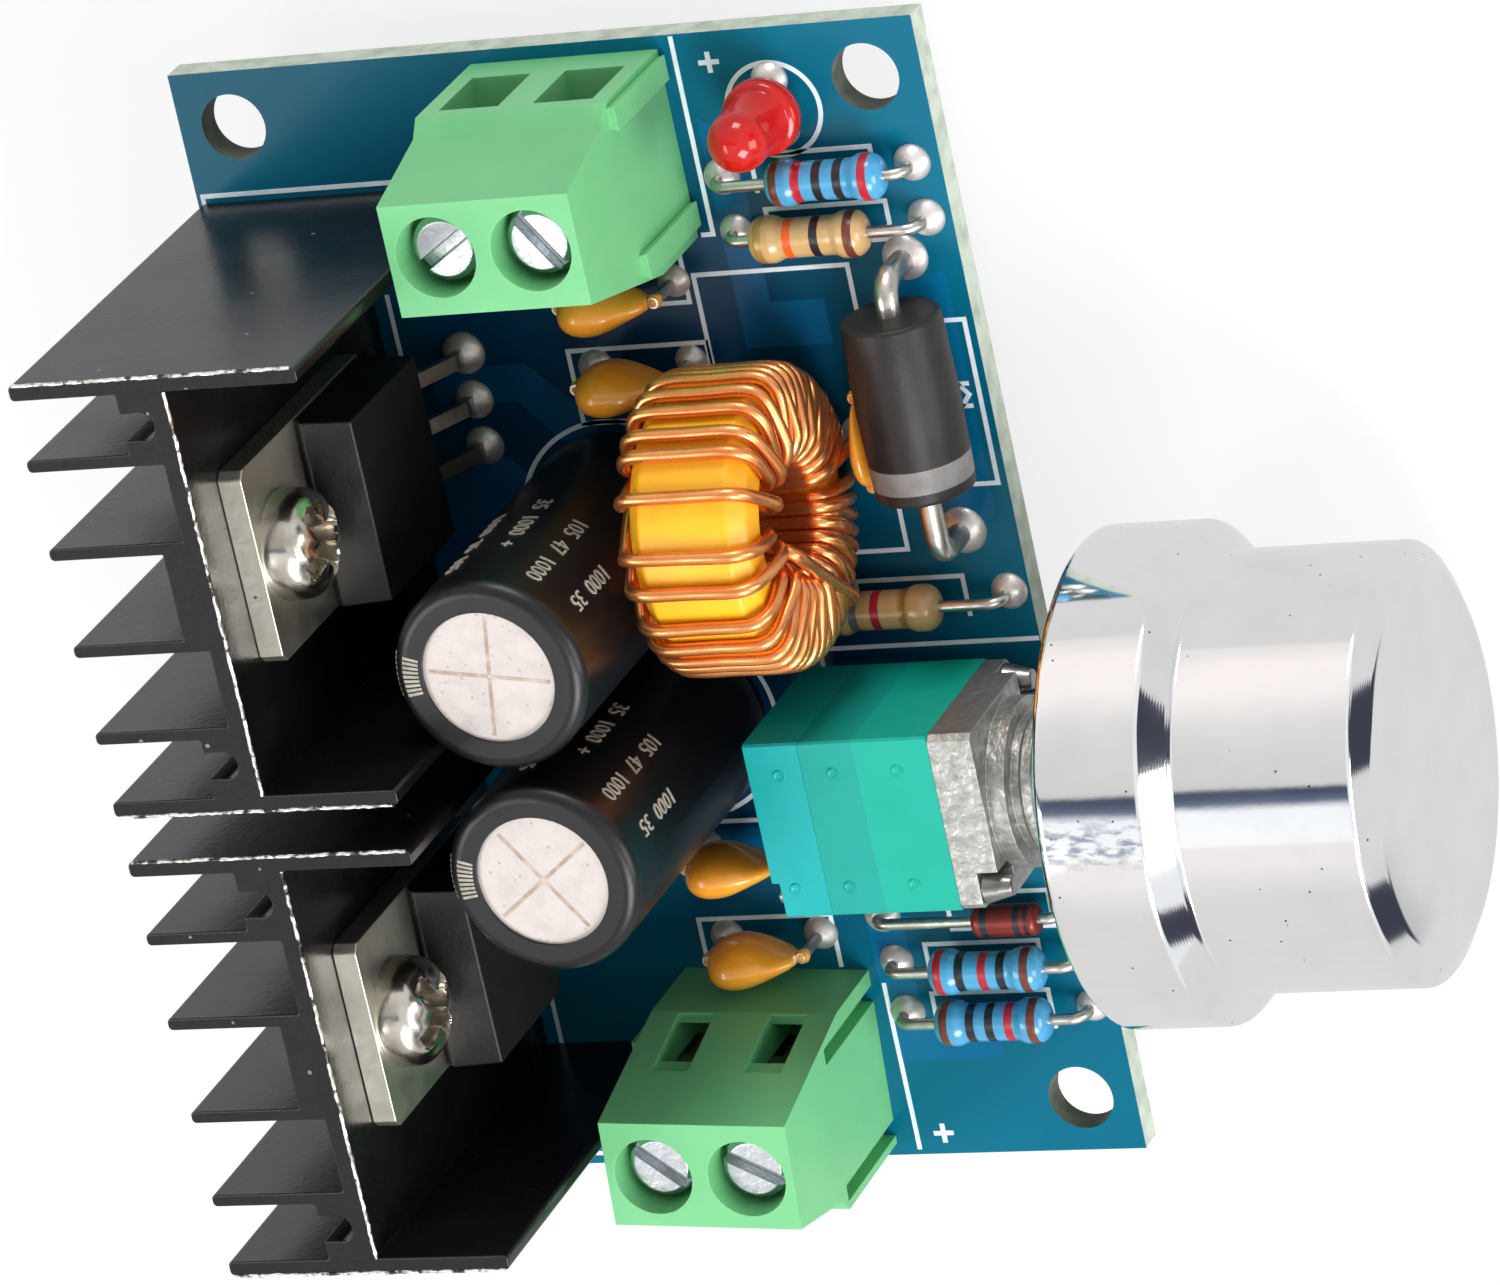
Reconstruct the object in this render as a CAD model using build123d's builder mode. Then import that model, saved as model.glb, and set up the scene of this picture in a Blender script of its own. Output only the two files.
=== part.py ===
from build123d import *
from math import cos, radians, sin
import os

# Adjustable step-down converter module with two heatsinks, a toroid inductor and a large knob.
# Millimetres. +Z points up off the board, +X towards the knob, +Y towards the output terminal.
# The origin is on the board's underside, at the centre of its four mounting holes.

# Circuit board. Every part's place along X counts from the free ends of the heatsinks' side plates.
parts_strip_width = 24.85
board_length = 62.0
board_thickness = 1.6
mount_hole_diameter = 3.5
mount_hole_inset = 3.0

# Leads and solder
hole_clearance = 0.2
solder_gap = 0.02
lead_stub = 1.8
solder_rise = 0.7
solder_spread = 0.45
fine_lead_diameter = 0.6
lead_bend_ratio = 1.2

# Heatsink extrusion
heatsink_height = 24.0
heatsink_span = 23.1
heatsink_depth = 15.5
heatsink_edge_inset = 0.15
output_heatsink_y = 12.45
input_heatsink_y = -13.15
web_depth = 8.3
web_thickness = 0.95
boss_thickness = 2.2
side_plate_thickness = 0.8
fin_thickness = 0.65
inner_fin_offset = 2.6
outer_fin_offset = 7.3
foot_block_thickness = 2.65
foot_pin_diameter = 1.4
foot_pin_depth = 8.0
foot_pin_gap = 0.03
heatsink_edge_radius = 0.25

# Power packages, each a flat tab with a moulded body and leads
tab_width = 10.2
tab_length = 15.2
tab_thickness = 1.3
tab_top_height = 20.9
tab_hole_diameter = 3.6
tab_hole_drop = 3.0
tab_chamfer = 0.4
package_head_gap = 0.6
package_side_inset = 0.1
package_body_thickness = 3.2
package_draft = 3.0
package_chamfer = 0.5
package_lead_width = 0.8
package_lead_thickness = 0.5
package_lead_exit = 2.5
package_lead_straight = 1.2
package_lead_row = 4.3
package_inner_row = 1.9
rectifier_lead_pitch = 2.54
regulator_lead_pitch = 1.7

# Package screws
package_screw_diameter = 2.9
package_screw_hole = 3.0
package_screw_length = 3.2
package_screw_head_diameter = 5.6
package_screw_head_height = 2.3
package_screw_rim_height = 0.8
cross_recess_width = 0.9
cross_recess_length = 3.2
cross_recess_depth = 1.3
cross_recess_taper = 12.0

# Electrolytic capacitors
can_diameter = 9.6
can_height = 18.3
can_lift = 0.7
sleeve_thickness = 0.22
sleeve_gap = 0.02
sleeve_opening = 7.0
sleeve_curl = 0.5
sleeve_rim_overlap = 0.4
can_shoulder_radius = 0.5
crimp_rise = 1.4
crimp_depth = 0.45
crimp_radius = 0.455
bung_diameter = 7.4
bung_thickness = 1.6
capacitor_lead_pitch = 5.0
vent_groove_width = 0.25
vent_groove_depth = 0.15
vent_groove_length = 6.4
output_capacitor_offset = 3.9
output_capacitor_y = 5.3
input_capacitor_offset = 4.25
input_capacitor_y = -5.75

# Toroid inductor, standing on its edge with its axis along X
core_outer_diameter = 14.0
core_inner_diameter = 7.4
core_width = 6.2
core_chamfer = 0.8
wire_diameter = 0.65
wire_gap = 0.03
inductor_offset = 13.6
inductor_y = 8.25
inductor_lift = 0.2
spread_turn_angles = [-2.0, 10.0, 20.5, 32.0, 41.0, 58.0, 81.0, 95.5, 113.0, 125.0, 135.0]
close_turns_before = 10
close_turns_after = 16
lead_gap_angle = 16.0
layer_step = 0.58
hip_share = 0.3
hole_entry_rise = 0.7
hole_entry_depth = 0.6
lead_out_gap = 0.5

# Large axial diode, lying along Y
power_diode_offset = 21.95
power_diode_y = 12.1
power_diode_diameter = 5.3
power_diode_length = 9.4
power_diode_height = 3.4
power_diode_end_draft = 0.1
power_diode_lead_diameter = 1.2
power_diode_hole_pitch = 14.7
power_diode_hole_y = 11.13

# Small axial parts, lying along X
axial_hole_pitch = 10.16
resistor_length = 6.2
resistor_cap_diameter = 2.4
resistor_waist_diameter = 2.0
resistor_cap_length = 1.3
resistor_shoulder = 0.35
resistor_rounding = 0.65
resistor_end_share = 0.45
resistor_rounding_share = 0.9
resistor_height = 1.6
glass_diode_length = 3.6
glass_diode_diameter = 1.7
glass_diode_shoulder = 0.35
glass_diode_end_share = 0.6
glass_diode_height = 1.3

# Each axial part: the left hole's offset, the row's y and the body centre's offset
metal_film_places = [(13.2, 23.4, 19.35), (13.4, -19.85, 18.95), (13.4, -22.75, 18.7)]
carbon_film_places = [(13.35, 20.5, 17.85), (13.6, 0.35, 17.45)]
glass_diode_places = [(13.15, -17.2, 20.45)]

# Light-emitting diode
led_offset = 16.8
led_y = 27.0
led_lift = 1.4
led_dome_diameter = 3.1
led_flange_diameter = 3.9
led_flange_height = 1.0
led_height = 5.3
led_lead_pitch = 2.54
led_lead_width = 0.5

# Dipped ceramic capacitors, each a drop-shaped bead: width, thickness and height
ceramic_size = (4.6, 2.6, 4.3)
small_ceramic_size = (4.2, 1.2, 2.6)
ceramic_lift = 0.9

# Stations along a bead: its share of the width, then of the thickness and of the height there
bead_stations = [
    (0.0, 0.3, 0.35),
    (0.07, 0.72, 0.72),
    (0.25, 1.0, 1.0),
    (0.5, 0.93, 0.97),
    (0.75, 0.6, 0.78),
    (0.93, 0.34, 0.5),
    (1.0, 0.2, 0.3),
]

# Each bead's place: its offset, its y and its turn about Z
ceramic_places = [(6.8, 18.1, 0.0), (6.8, 13.75, 0.0), (6.85, -12.9, 0.0), (6.95, -18.1, 0.0)]
small_ceramic_places = [(18.55, 9.6, 90.0)]

# Potentiometer, its shaft along X
pot_offset = 12.65
pot_axis_y = -7.25
pot_axis_height = 6.4
pot_width = 9.5
rear_wafer_length = 2.9
middle_wafer_length = 2.9
front_wafer_length = 4.0
wafer_edge_chamfer = 0.12
rear_notch_depth = 0.4
rear_notch_width = 1.9
faceplate_thickness = 2.3
faceplate_chamfer = 0.3
boss_margin = 0.45
boss_height = 1.0
bushing_diameter = 7.0
bushing_length = 5.0
bushing_chamfer = 0.3
corner_notch_size = 2.2
corner_notch_depth = 1.1
rivet_diameter = 1.0
rivet_head_diameter = 1.8
rivet_head_height = 1.5
rivet_head_taper = 15.0
rivet_inset = 0.9
pot_fit_gap = 0.02
shaft_neck_diameter = 4.5
shaft_diameter = 6.0
shaft_grip_length = 9.7
shaft_end_play = 0.1
shaft_end_chamfer = 0.4
shaft_clearance = 0.05
rotor_diameter = 5.4
rotor_thickness = 1.0
rotor_clearance = 0.1
pot_pin_offsets = [-2.5, 0.0, 2.5]
pot_pin_width = 0.8
pot_pin_thickness = 0.5
pot_pin_reach = 1.2

# Knob
knob_rear_gap = 0.55
knob_length = 16.4
knob_flange_diameter = 25.0
knob_flange_length = 5.4
knob_cone_length = 1.15
knob_grip_diameter = 21.9
knob_front_chamfer = 1.4
knob_front_chamfer_length = 0.75
knob_rear_chamfer = 0.3
knob_bore_gap = 0.02

# Terminal blocks, two poles each
pole_pitch = 5.08
terminal_width = 10.16
terminal_depth = 10.0
terminal_height = 13.8
terminal_back_height = 5.0
terminal_back_slope = 2.0
terminal_top_front = 7.8
terminal_lip_height = 8.2
terminal_lip_depth = 0.85
terminal_entry_height = 7.4
output_terminal_offset = 6.15
output_terminal_back_inset = 10.7
input_terminal_offset = 6.65
input_terminal_back_inset = 10.95
input_terminal_skew = -3.0
terminal_screw_y = 5.0
screw_well_diameter = 4.2
clamp_screw_head_diameter = 3.5
clamp_screw_head_height = 1.6
clamp_screw_sink = 1.1
clamp_screw_diameter = 2.6
clamp_screw_slot = 0.6
clamp_screw_slot_depth = 0.8
clamp_screw_clearance = 0.06
clamp_screw_tip_gap = 0.1
clamp_screw_chamfer = 0.3
output_slot_angles = [32.0, -55.0]
input_slot_angles = [-26.0, -38.0]
chamber_width = 3.9
chamber_rear_y = 2.1
chamber_depth = 5.2
chamber_floor = 1.6
chamber_height = 8.6
cage_clearance = 0.1
cage_height = 5.9
cage_wall = 0.5
cage_top_thickness = 1.0
cage_depth = 4.0
tongue_thickness = 0.8
tongue_width = 2.4
tongue_setback = 0.3
terminal_fit_gap = 0.03
terminal_pin_y = 2.55
terminal_pin_width = 1.0
terminal_pin_thickness = 0.8
entry_width = 3.2
entry_low = 2.1
entry_high = 6.6
window_width = 2.0
window_low = 5.2
window_high = 9.8
window_recess = 0.4
window_hole_high = 8.4
window_wall = 0.6
rib_base = 0.2
rib_height = 7.1
rib_width = 0.8
rib_depth = 0.65
rib_clearance = 0.05
rib_flank_angle = 75.0
front_rib_y = 9.1
rear_rib_y = 1.35
pole_names = ["left", "right"]

# Values worked out from the sizes above
board_top = board_thickness
board_width = heatsink_edge_inset + heatsink_depth + parts_strip_width
board_left = -board_width / 2
plate_end_x = board_left + heatsink_edge_inset + heatsink_depth
web_face_x = board_left + heatsink_edge_inset + web_depth
inductor_x = plate_end_x + inductor_offset
core_center_z = board_top + inductor_lift + core_outer_diameter / 2 + wire_diameter + wire_gap
power_diode_x = plate_end_x + power_diode_offset
led_x = plate_end_x + led_offset
pot_rear_x = plate_end_x + pot_offset
pot_axis_z = board_top + pot_axis_height
middle_wafer_x = pot_rear_x + rear_wafer_length
front_wafer_x = middle_wafer_x + middle_wafer_length
faceplate_x = front_wafer_x + front_wafer_length
faceplate_front_x = faceplate_x + faceplate_thickness
bushing_end_x = faceplate_front_x + bushing_length
knob_rear_x = bushing_end_x + knob_rear_gap
shaft_end_x = knob_rear_x + shaft_grip_length
can_bottom = board_top + can_lift
can_top = can_bottom + can_height
sleeve_radius = can_diameter / 2 + sleeve_gap + sleeve_thickness
pole_positions = [-pole_pitch / 2, pole_pitch / 2]
clamp_head_low = terminal_height - clamp_screw_sink - clamp_screw_head_height
cage_low = chamber_floor + terminal_fit_gap
tongue_top = cage_low + cage_height - cage_top_thickness - terminal_fit_gap

os.makedirs("parts", exist_ok=True)

# Every lead that passes through the board: x, y, its radius, and whether a part sits on its hole
lead_holes = []


def add_lead_hole(x, y, radius, covered=False):
    lead_holes.append((x, y, radius, covered))


# Half the diagonal of a square-cornered lead
def corner_radius(width, thickness):
    return (width**2 + thickness**2) ** 0.5 / 2


def export_piece(piece, label):
    piece.label = label
    export_step(piece, f"parts/{label}.step")


# A round wire along straight runs joined by tangent arcs
def bent_wire(points, diameter, bend_radius):
    with BuildPart() as wire:
        with BuildLine() as route:
            FilletPolyline(*points, radius=bend_radius)
        with BuildSketch(Plane(origin=route.line @ 0, z_dir=route.line % 0)):
            Circle(diameter / 2)
        sweep()
    return wire.part


# A straight round lead from a height down through the board
def straight_lead(x, y, top, diameter, covered=False):
    with BuildPart() as lead:
        with BuildSketch(Plane.XY.offset(-lead_stub)):
            with Locations((x, y)):
                Circle(diameter / 2)
        extrude(amount=top + lead_stub)
    add_lead_hole(x, y, diameter / 2, covered)
    return lead.part


# A rectangular lead along a path in the plane of one row, bent outwards from the package
def flat_lead(points, row_y, width, thickness):
    with BuildPart() as lead:
        with BuildSketch(Plane.XZ.offset(-row_y)):
            with BuildLine() as route:
                FilletPolyline(*points, radius=thickness)
            trace(route.line, line_width=thickness)
        extrude(amount=width / 2, both=True)
    add_lead_hole(points[-1][0], row_y, corner_radius(width, thickness))
    return lead.part


# Heatsink extrusion

def heatsink(center_y):
    left = board_left + heatsink_edge_inset
    half_span = heatsink_span / 2
    screw_z = board_top + tab_top_height - tab_hole_drop
    foot_span = half_span - side_plate_thickness - outer_fin_offset
    with BuildPart() as sink:
        with BuildSketch(Plane.XY.offset(board_top)):
            web_center = web_face_x - web_thickness / 2
            with Locations((web_center, center_y)):
                Rectangle(web_thickness, heatsink_span)
            with Locations((web_face_x - boss_thickness / 2, center_y)):
                Rectangle(boss_thickness, 2 * inner_fin_offset)
            for side in (-1, 1):
                plate_y = center_y + side * (half_span - side_plate_thickness / 2)
                with Locations((left + heatsink_depth / 2, plate_y)):
                    Rectangle(heatsink_depth, side_plate_thickness)
                for fin_offset in (inner_fin_offset, outer_fin_offset):
                    with Locations(((left + web_face_x) / 2, center_y + side * fin_offset)):
                        Rectangle(web_face_x - left, fin_thickness)
                block_y = center_y + side * (outer_fin_offset + foot_span / 2)
                with Locations((web_face_x - foot_block_thickness / 2, block_y)):
                    Rectangle(foot_block_thickness, foot_span)
                with Locations(foot_pin_place(center_y, side)):
                    Circle(foot_pin_diameter / 2 + foot_pin_gap, mode=Mode.SUBTRACT)
                with Locations((foot_pin_x() - foot_block_thickness / 2, block_y)):
                    Rectangle(foot_block_thickness, foot_pin_diameter, mode=Mode.SUBTRACT)
        extrude(amount=heatsink_height)
        end_edges = sink.edges().filter_by(Axis.Z)
        right_ends = end_edges.group_by(Axis.X)[-1]
        left_ends = end_edges.group_by(Axis.X)[0]
        fillet(right_ends + left_ends, radius=heatsink_edge_radius)
        hole_plane = Plane(origin=(web_face_x, center_y, screw_z), z_dir=(1, 0, 0))
        with Locations(hole_plane):
            Hole(package_screw_hole / 2, depth=boss_thickness * 1.5)
    return sink.part


def foot_pin_x():
    return web_face_x - web_thickness - foot_pin_diameter / 2 - foot_pin_gap


def foot_pin_place(center_y, side):
    half_span = heatsink_span / 2
    return foot_pin_x(), center_y + side * (outer_fin_offset + half_span - side_plate_thickness) / 2


# Pins pressed into the heatsink grooves and soldered to the board
def foot_pins():
    pins = []
    for center_y in (output_heatsink_y, input_heatsink_y):
        for side in (-1, 1):
            x, y = foot_pin_place(center_y, side)
            pins.append(straight_lead(x, y, board_top + foot_pin_depth, foot_pin_diameter, covered=True))
    return pins


output_heatsink = heatsink(output_heatsink_y)
export_piece(output_heatsink, "output_heatsink")
input_heatsink = heatsink(input_heatsink_y)
export_piece(input_heatsink, "input_heatsink")

foot_pin_solids = foot_pins()
with BuildPart() as heatsink_pins:
    add(foot_pin_solids)
export_piece(heatsink_pins.part, "heatsink_pins")


# Power packages

tab_top = board_top + tab_top_height
package_bottom = tab_top - tab_length
body_top = tab_top - tab_hole_drop - package_screw_head_diameter / 2 - package_head_gap


def package_tab(center_y):
    with BuildPart() as tab:
        with BuildSketch(Plane(origin=(web_face_x, center_y, 0), x_dir=(0, 1, 0), z_dir=(1, 0, 0))):
            with Locations((0, package_bottom + tab_length / 2)):
                Rectangle(tab_width, tab_length)
            with Locations((0, tab_top - tab_hole_drop)):
                Circle(tab_hole_diameter / 2, mode=Mode.SUBTRACT)
        extrude(amount=tab_thickness)
        top_corners = tab.edges().filter_by(Axis.X).group_by(Axis.Z)[-1]
        chamfer(top_corners, length=tab_chamfer)
    return tab.part


def package_body(center_y):
    center = (web_face_x + tab_thickness, center_y, (package_bottom + body_top) / 2)
    with BuildPart() as body:
        with BuildSketch(Plane(origin=center, x_dir=(0, 1, 0), z_dir=(1, 0, 0))):
            Rectangle(tab_width - 2 * package_side_inset, body_top - package_bottom)
        extrude(amount=package_body_thickness, taper=package_draft)
        top_front = body.edges().filter_by(Axis.Y).group_by(Axis.Z)[-1].sort_by(Axis.X)[-1]
        chamfer(top_front, length=package_chamfer)
    return body.part


# Leads leave the package's lower end and kink outwards before they enter the board
def package_leads(center_y, count, pitch, rows):
    exit_x = web_face_x + package_lead_exit
    kink_low = board_top + package_lead_straight
    kink_high = package_bottom - package_lead_straight
    leads = []
    for index in range(count):
        row_y = center_y + (index - (count - 1) / 2) * pitch
        row_x = web_face_x + rows[index % len(rows)]
        points = [
            (exit_x, package_bottom),
            (exit_x, kink_high),
            (row_x, kink_low),
            (row_x, -lead_stub),
        ]
        leads.append(flat_lead(points, row_y, package_lead_width, package_lead_thickness))
    return leads


export_piece(package_tab(output_heatsink_y), "rectifier_tab")
export_piece(package_body(output_heatsink_y), "rectifier_body")
export_piece(package_tab(input_heatsink_y), "regulator_tab")
export_piece(package_body(input_heatsink_y), "regulator_body")

rectifier_lead_solids = package_leads(output_heatsink_y, 3, rectifier_lead_pitch, [package_lead_row])
with BuildPart() as rectifier_leads:
    add(rectifier_lead_solids)
export_piece(rectifier_leads.part, "rectifier_leads")

regulator_rows = [package_lead_row, package_inner_row]
regulator_lead_solids = package_leads(input_heatsink_y, 5, regulator_lead_pitch, regulator_rows)
with BuildPart() as regulator_leads:
    add(regulator_lead_solids)
export_piece(regulator_leads.part, "regulator_leads")


# Pan-head screws with a cross recess, one through each tab into the heatsink boss
def package_screw(center_y):
    head_x = web_face_x + tab_thickness
    axis_z = tab_top - tab_hole_drop
    head_radius = package_screw_head_diameter / 2
    profile_plane = Plane(origin=(head_x, center_y, axis_z), x_dir=(1, 0, 0), z_dir=(0, -1, 0))
    recess_plane = Plane(
        origin=(head_x + package_screw_head_height, center_y, axis_z), x_dir=(0, 1, 1), z_dir=(1, 0, 0)
    )
    with BuildPart() as screw:
        with BuildSketch(profile_plane):
            with BuildLine():
                Line((-package_screw_length, 0), (package_screw_head_height, 0))
                rim = (package_screw_rim_height, head_radius)
                TangentArc((package_screw_head_height, 0), rim, tangent=(0, 1))
                Polyline(
                    rim,
                    (0, head_radius),
                    (0, package_screw_diameter / 2),
                    (-package_screw_length, package_screw_diameter / 2),
                    (-package_screw_length, 0),
                )
            make_face()
        revolve(axis=Axis((head_x, center_y, axis_z), (1, 0, 0)))
        with BuildSketch(recess_plane):
            Rectangle(cross_recess_length, cross_recess_width)
            Rectangle(cross_recess_width, cross_recess_length)
        extrude(amount=-cross_recess_depth, taper=cross_recess_taper, mode=Mode.SUBTRACT)
    return screw.part


package_screw_solids = [package_screw(y) for y in (output_heatsink_y, input_heatsink_y)]
with BuildPart() as package_screws:
    add(package_screw_solids)
export_piece(package_screws.part, "package_screws")


# Electrolytic capacitors

def capacitor_can(x, y):
    radius = can_diameter / 2
    shoulder = can_shoulder_radius
    crimp_low = can_bottom + crimp_rise
    crimp_high = crimp_low + 2 * crimp_depth
    with BuildPart() as can:
        with BuildSketch(Plane(origin=(x, y, 0), x_dir=(1, 0, 0), z_dir=(0, -1, 0))):
            with BuildLine():
                Polyline(
                    (0, can_bottom + bung_thickness),
                    (bung_diameter / 2, can_bottom + bung_thickness),
                    (bung_diameter / 2, can_bottom),
                    (radius, can_bottom),
                    (radius, crimp_low),
                )
                RadiusArc((radius, crimp_low), (radius, crimp_high), crimp_radius)
                Line((radius, crimp_high), (radius, can_top - shoulder))
                RadiusArc((radius, can_top - shoulder), (radius - shoulder, can_top), -shoulder)
                Line((radius - shoulder, can_top), (0, can_top))
                Line((0, can_top), (0, can_bottom + bung_thickness))
            make_face()
        revolve(axis=Axis((x, y, 0), (0, 0, 1)))
        with BuildSketch(Plane(origin=(x, y, can_top), z_dir=(0, 0, 1))):
            Rectangle(vent_groove_length, vent_groove_width)
            Rectangle(vent_groove_width, vent_groove_length)
        extrude(amount=-vent_groove_depth, mode=Mode.SUBTRACT)
    return can.part


# The shrunk sleeve is a thin tube that curls over the can's shoulder and under its rim
def capacitor_sleeve(x, y):
    inner = can_diameter / 2 + sleeve_gap
    low = can_bottom - sleeve_gap
    high = can_top + sleeve_gap
    rim = bung_diameter / 2 + sleeve_rim_overlap
    outer_curl = sleeve_curl + sleeve_thickness
    with BuildPart() as sleeve:
        with BuildSketch(Plane(origin=(x, y, 0), x_dir=(1, 0, 0), z_dir=(0, -1, 0))):
            with BuildLine():
                Polyline(
                    (rim, low - sleeve_thickness),
                    (sleeve_radius, low - sleeve_thickness),
                    (sleeve_radius, high - sleeve_curl),
                )
                RadiusArc(
                    (sleeve_radius, high - sleeve_curl),
                    (inner - sleeve_curl, high + sleeve_thickness),
                    -outer_curl,
                )
                Polyline(
                    (inner - sleeve_curl, high + sleeve_thickness),
                    (sleeve_opening / 2, high + sleeve_thickness),
                    (sleeve_opening / 2, high),
                    (inner - sleeve_curl, high),
                )
                RadiusArc((inner - sleeve_curl, high), (inner, high - sleeve_curl), sleeve_curl)
                Polyline(
                    (inner, high - sleeve_curl),
                    (inner, low),
                    (rim, low),
                    (rim, low - sleeve_thickness),
                )
            make_face()
        revolve(axis=Axis((x, y, 0), (0, 0, 1)))
    return sleeve.part


def capacitor_bung(x, y):
    with BuildPart() as bung:
        with BuildSketch(Plane.XY.offset(can_bottom)):
            with Locations((x, y)):
                Circle(bung_diameter / 2 - sleeve_gap)
        extrude(amount=bung_thickness - sleeve_gap)
    return bung.part


def capacitor_leads(x, y):
    places = [y - capacitor_lead_pitch / 2, y + capacitor_lead_pitch / 2]
    return [straight_lead(x, lead_y, can_bottom, fine_lead_diameter) for lead_y in places]


capacitor_places = {
    "output": (plate_end_x + output_capacitor_offset, output_capacitor_y),
    "input": (plate_end_x + input_capacitor_offset, input_capacitor_y),
}
capacitor_lead_solids = []
for side_name, (x, y) in capacitor_places.items():
    export_piece(capacitor_can(x, y), f"{side_name}_capacitor_can")
    export_piece(capacitor_sleeve(x, y), f"{side_name}_capacitor_sleeve")
    export_piece(capacitor_bung(x, y), f"{side_name}_capacitor_bung")
    capacitor_lead_solids += capacitor_leads(x, y)

with BuildPart() as electrolytic_leads:
    add(capacitor_lead_solids)
export_piece(electrolytic_leads.part, "electrolytic_leads")


# Toroid inductor

core_center = (inductor_x, inductor_y, core_center_z)
with BuildPart() as inductor_core:
    with BuildSketch(Plane(origin=core_center, x_dir=(1, 0, 0), z_dir=(0, -1, 0))):
        with Locations((0, (core_outer_diameter + core_inner_diameter) / 4)):
            section = Rectangle(core_width, (core_outer_diameter - core_inner_diameter) / 2)
        chamfer(section.vertices(), length=core_chamfer)
    revolve(axis=Axis(core_center, (1, 0, 0)))
export_piece(inductor_core.part, "inductor_core")


# A point on the winding: radius from the core's axis, place along it, angle round it
def winding_point(radius, along, angle):
    return (
        inductor_x + along,
        inductor_y + radius * cos(radians(angle)),
        core_center_z + radius * sin(radians(angle)),
    )


# Angles from one to another in even steps, without the last
def even_angles(start, stop, count):
    return [start + (stop - start) * step / count for step in range(count)]


# The turns lie close all round the core, but the photographed ones over its top are spread apart
first_turn_angle = -90 + lead_gap_angle / 2
last_turn_angle = 270 - lead_gap_angle / 2
turn_angles = even_angles(first_turn_angle, spread_turn_angles[0], close_turns_before)
turn_angles += spread_turn_angles
turn_angles += even_angles(last_turn_angle, spread_turn_angles[-1], close_turns_after)[::-1]

outer_radius = core_outer_diameter / 2 + wire_gap + wire_diameter / 2
inner_radius = core_inner_diameter / 2 - wire_gap - wire_diameter / 2
face_offset = core_width / 2 + wire_gap + wire_diameter / 2
bend = core_chamfer + wire_diameter / 2
hip = bend * hip_share

# Each turn runs out over the rim, in across one face, through the hole and back out across the other.
# Every second turn lies one layer deeper in the hole, where there is no room for all of them side by side.
winding_points = []
for index, angle in enumerate(turn_angles):
    layer = index % 2
    hole_radius = inner_radius - layer * layer_step
    hole_offset = face_offset + layer * layer_step
    next_angle = turn_angles[min(index + 1, len(turn_angles) - 1)]
    if index > 0:
        winding_points += [
            winding_point(outer_radius - hip, hip - face_offset, angle),
            winding_point(outer_radius, bend - face_offset, angle),
            winding_point(outer_radius, face_offset - bend, angle),
            winding_point(outer_radius - hip, face_offset - hip, angle),
            winding_point(outer_radius - bend, face_offset, angle),
        ]
    winding_points += [
        winding_point(hole_radius + hole_entry_rise, hole_offset, angle),
        winding_point(hole_radius, hole_offset - hole_entry_depth, angle),
        winding_point(hole_radius, hole_entry_depth - hole_offset, angle),
        winding_point(hole_radius + hole_entry_rise, -hole_offset, angle),
        winding_point(outer_radius - bend, -face_offset, next_angle),
    ]

lead_height = core_center_z - core_outer_diameter / 2
lead_in = winding_point(outer_radius, face_offset + lead_out_gap, first_turn_angle)
lead_out = winding_point(outer_radius, -face_offset - lead_out_gap, turn_angles[-1])
winding_points = (
    [(lead_in[0], lead_in[1], -lead_stub), (lead_in[0], lead_in[1], lead_height)]
    + winding_points
    + [(lead_out[0], lead_out[1], lead_height), (lead_out[0], lead_out[1], -lead_stub)]
)
add_lead_hole(lead_in[0], lead_in[1], wire_diameter / 2)
add_lead_hole(lead_out[0], lead_out[1], wire_diameter / 2)

with BuildPart() as inductor_winding:
    with BuildLine() as wire_route:
        Polyline(*winding_points)
    with BuildSketch(Plane(origin=wire_route.line @ 0, z_dir=wire_route.line % 0)):
        RegularPolygon(radius=wire_diameter / 2, side_count=6)
    sweep(transition=Transition.RIGHT)
export_piece(inductor_winding.part, "inductor_winding")


# Axial parts: a turned body with a lead at each end, bent down into the board

def turned_body(center, direction, outline):
    plane = Plane(origin=center, x_dir=direction, z_dir=Vector(direction).cross(Vector(0, 0, 1)))
    with BuildPart() as body:
        with BuildSketch(plane):
            with BuildLine():
                Polyline(*outline, close=True)
            make_face()
        revolve(axis=Axis(center, direction))
    return body.part


def resistor_body(x, y):
    half = resistor_length / 2
    cap = resistor_cap_diameter / 2
    shoulder = half - resistor_cap_length
    right_half = [
        (shoulder - resistor_shoulder, resistor_waist_diameter / 2),
        (shoulder, cap),
        (half - resistor_rounding, cap),
        (half - resistor_shoulder, cap * resistor_rounding_share),
        (half, cap * resistor_end_share),
        (half, 0),
    ]
    outline = [(-along, radius) for along, radius in reversed(right_half)] + right_half
    return turned_body((x, y, board_top + resistor_height), (1, 0, 0), outline)


def glass_diode_body(x, y):
    half = glass_diode_length / 2
    radius = glass_diode_diameter / 2
    right_half = [
        (half - glass_diode_shoulder, radius),
        (half, radius * glass_diode_end_share),
        (half, 0),
    ]
    outline = [(-along, radius) for along, radius in reversed(right_half)] + right_half
    return turned_body((x, y, board_top + glass_diode_height), (1, 0, 0), outline)


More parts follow.
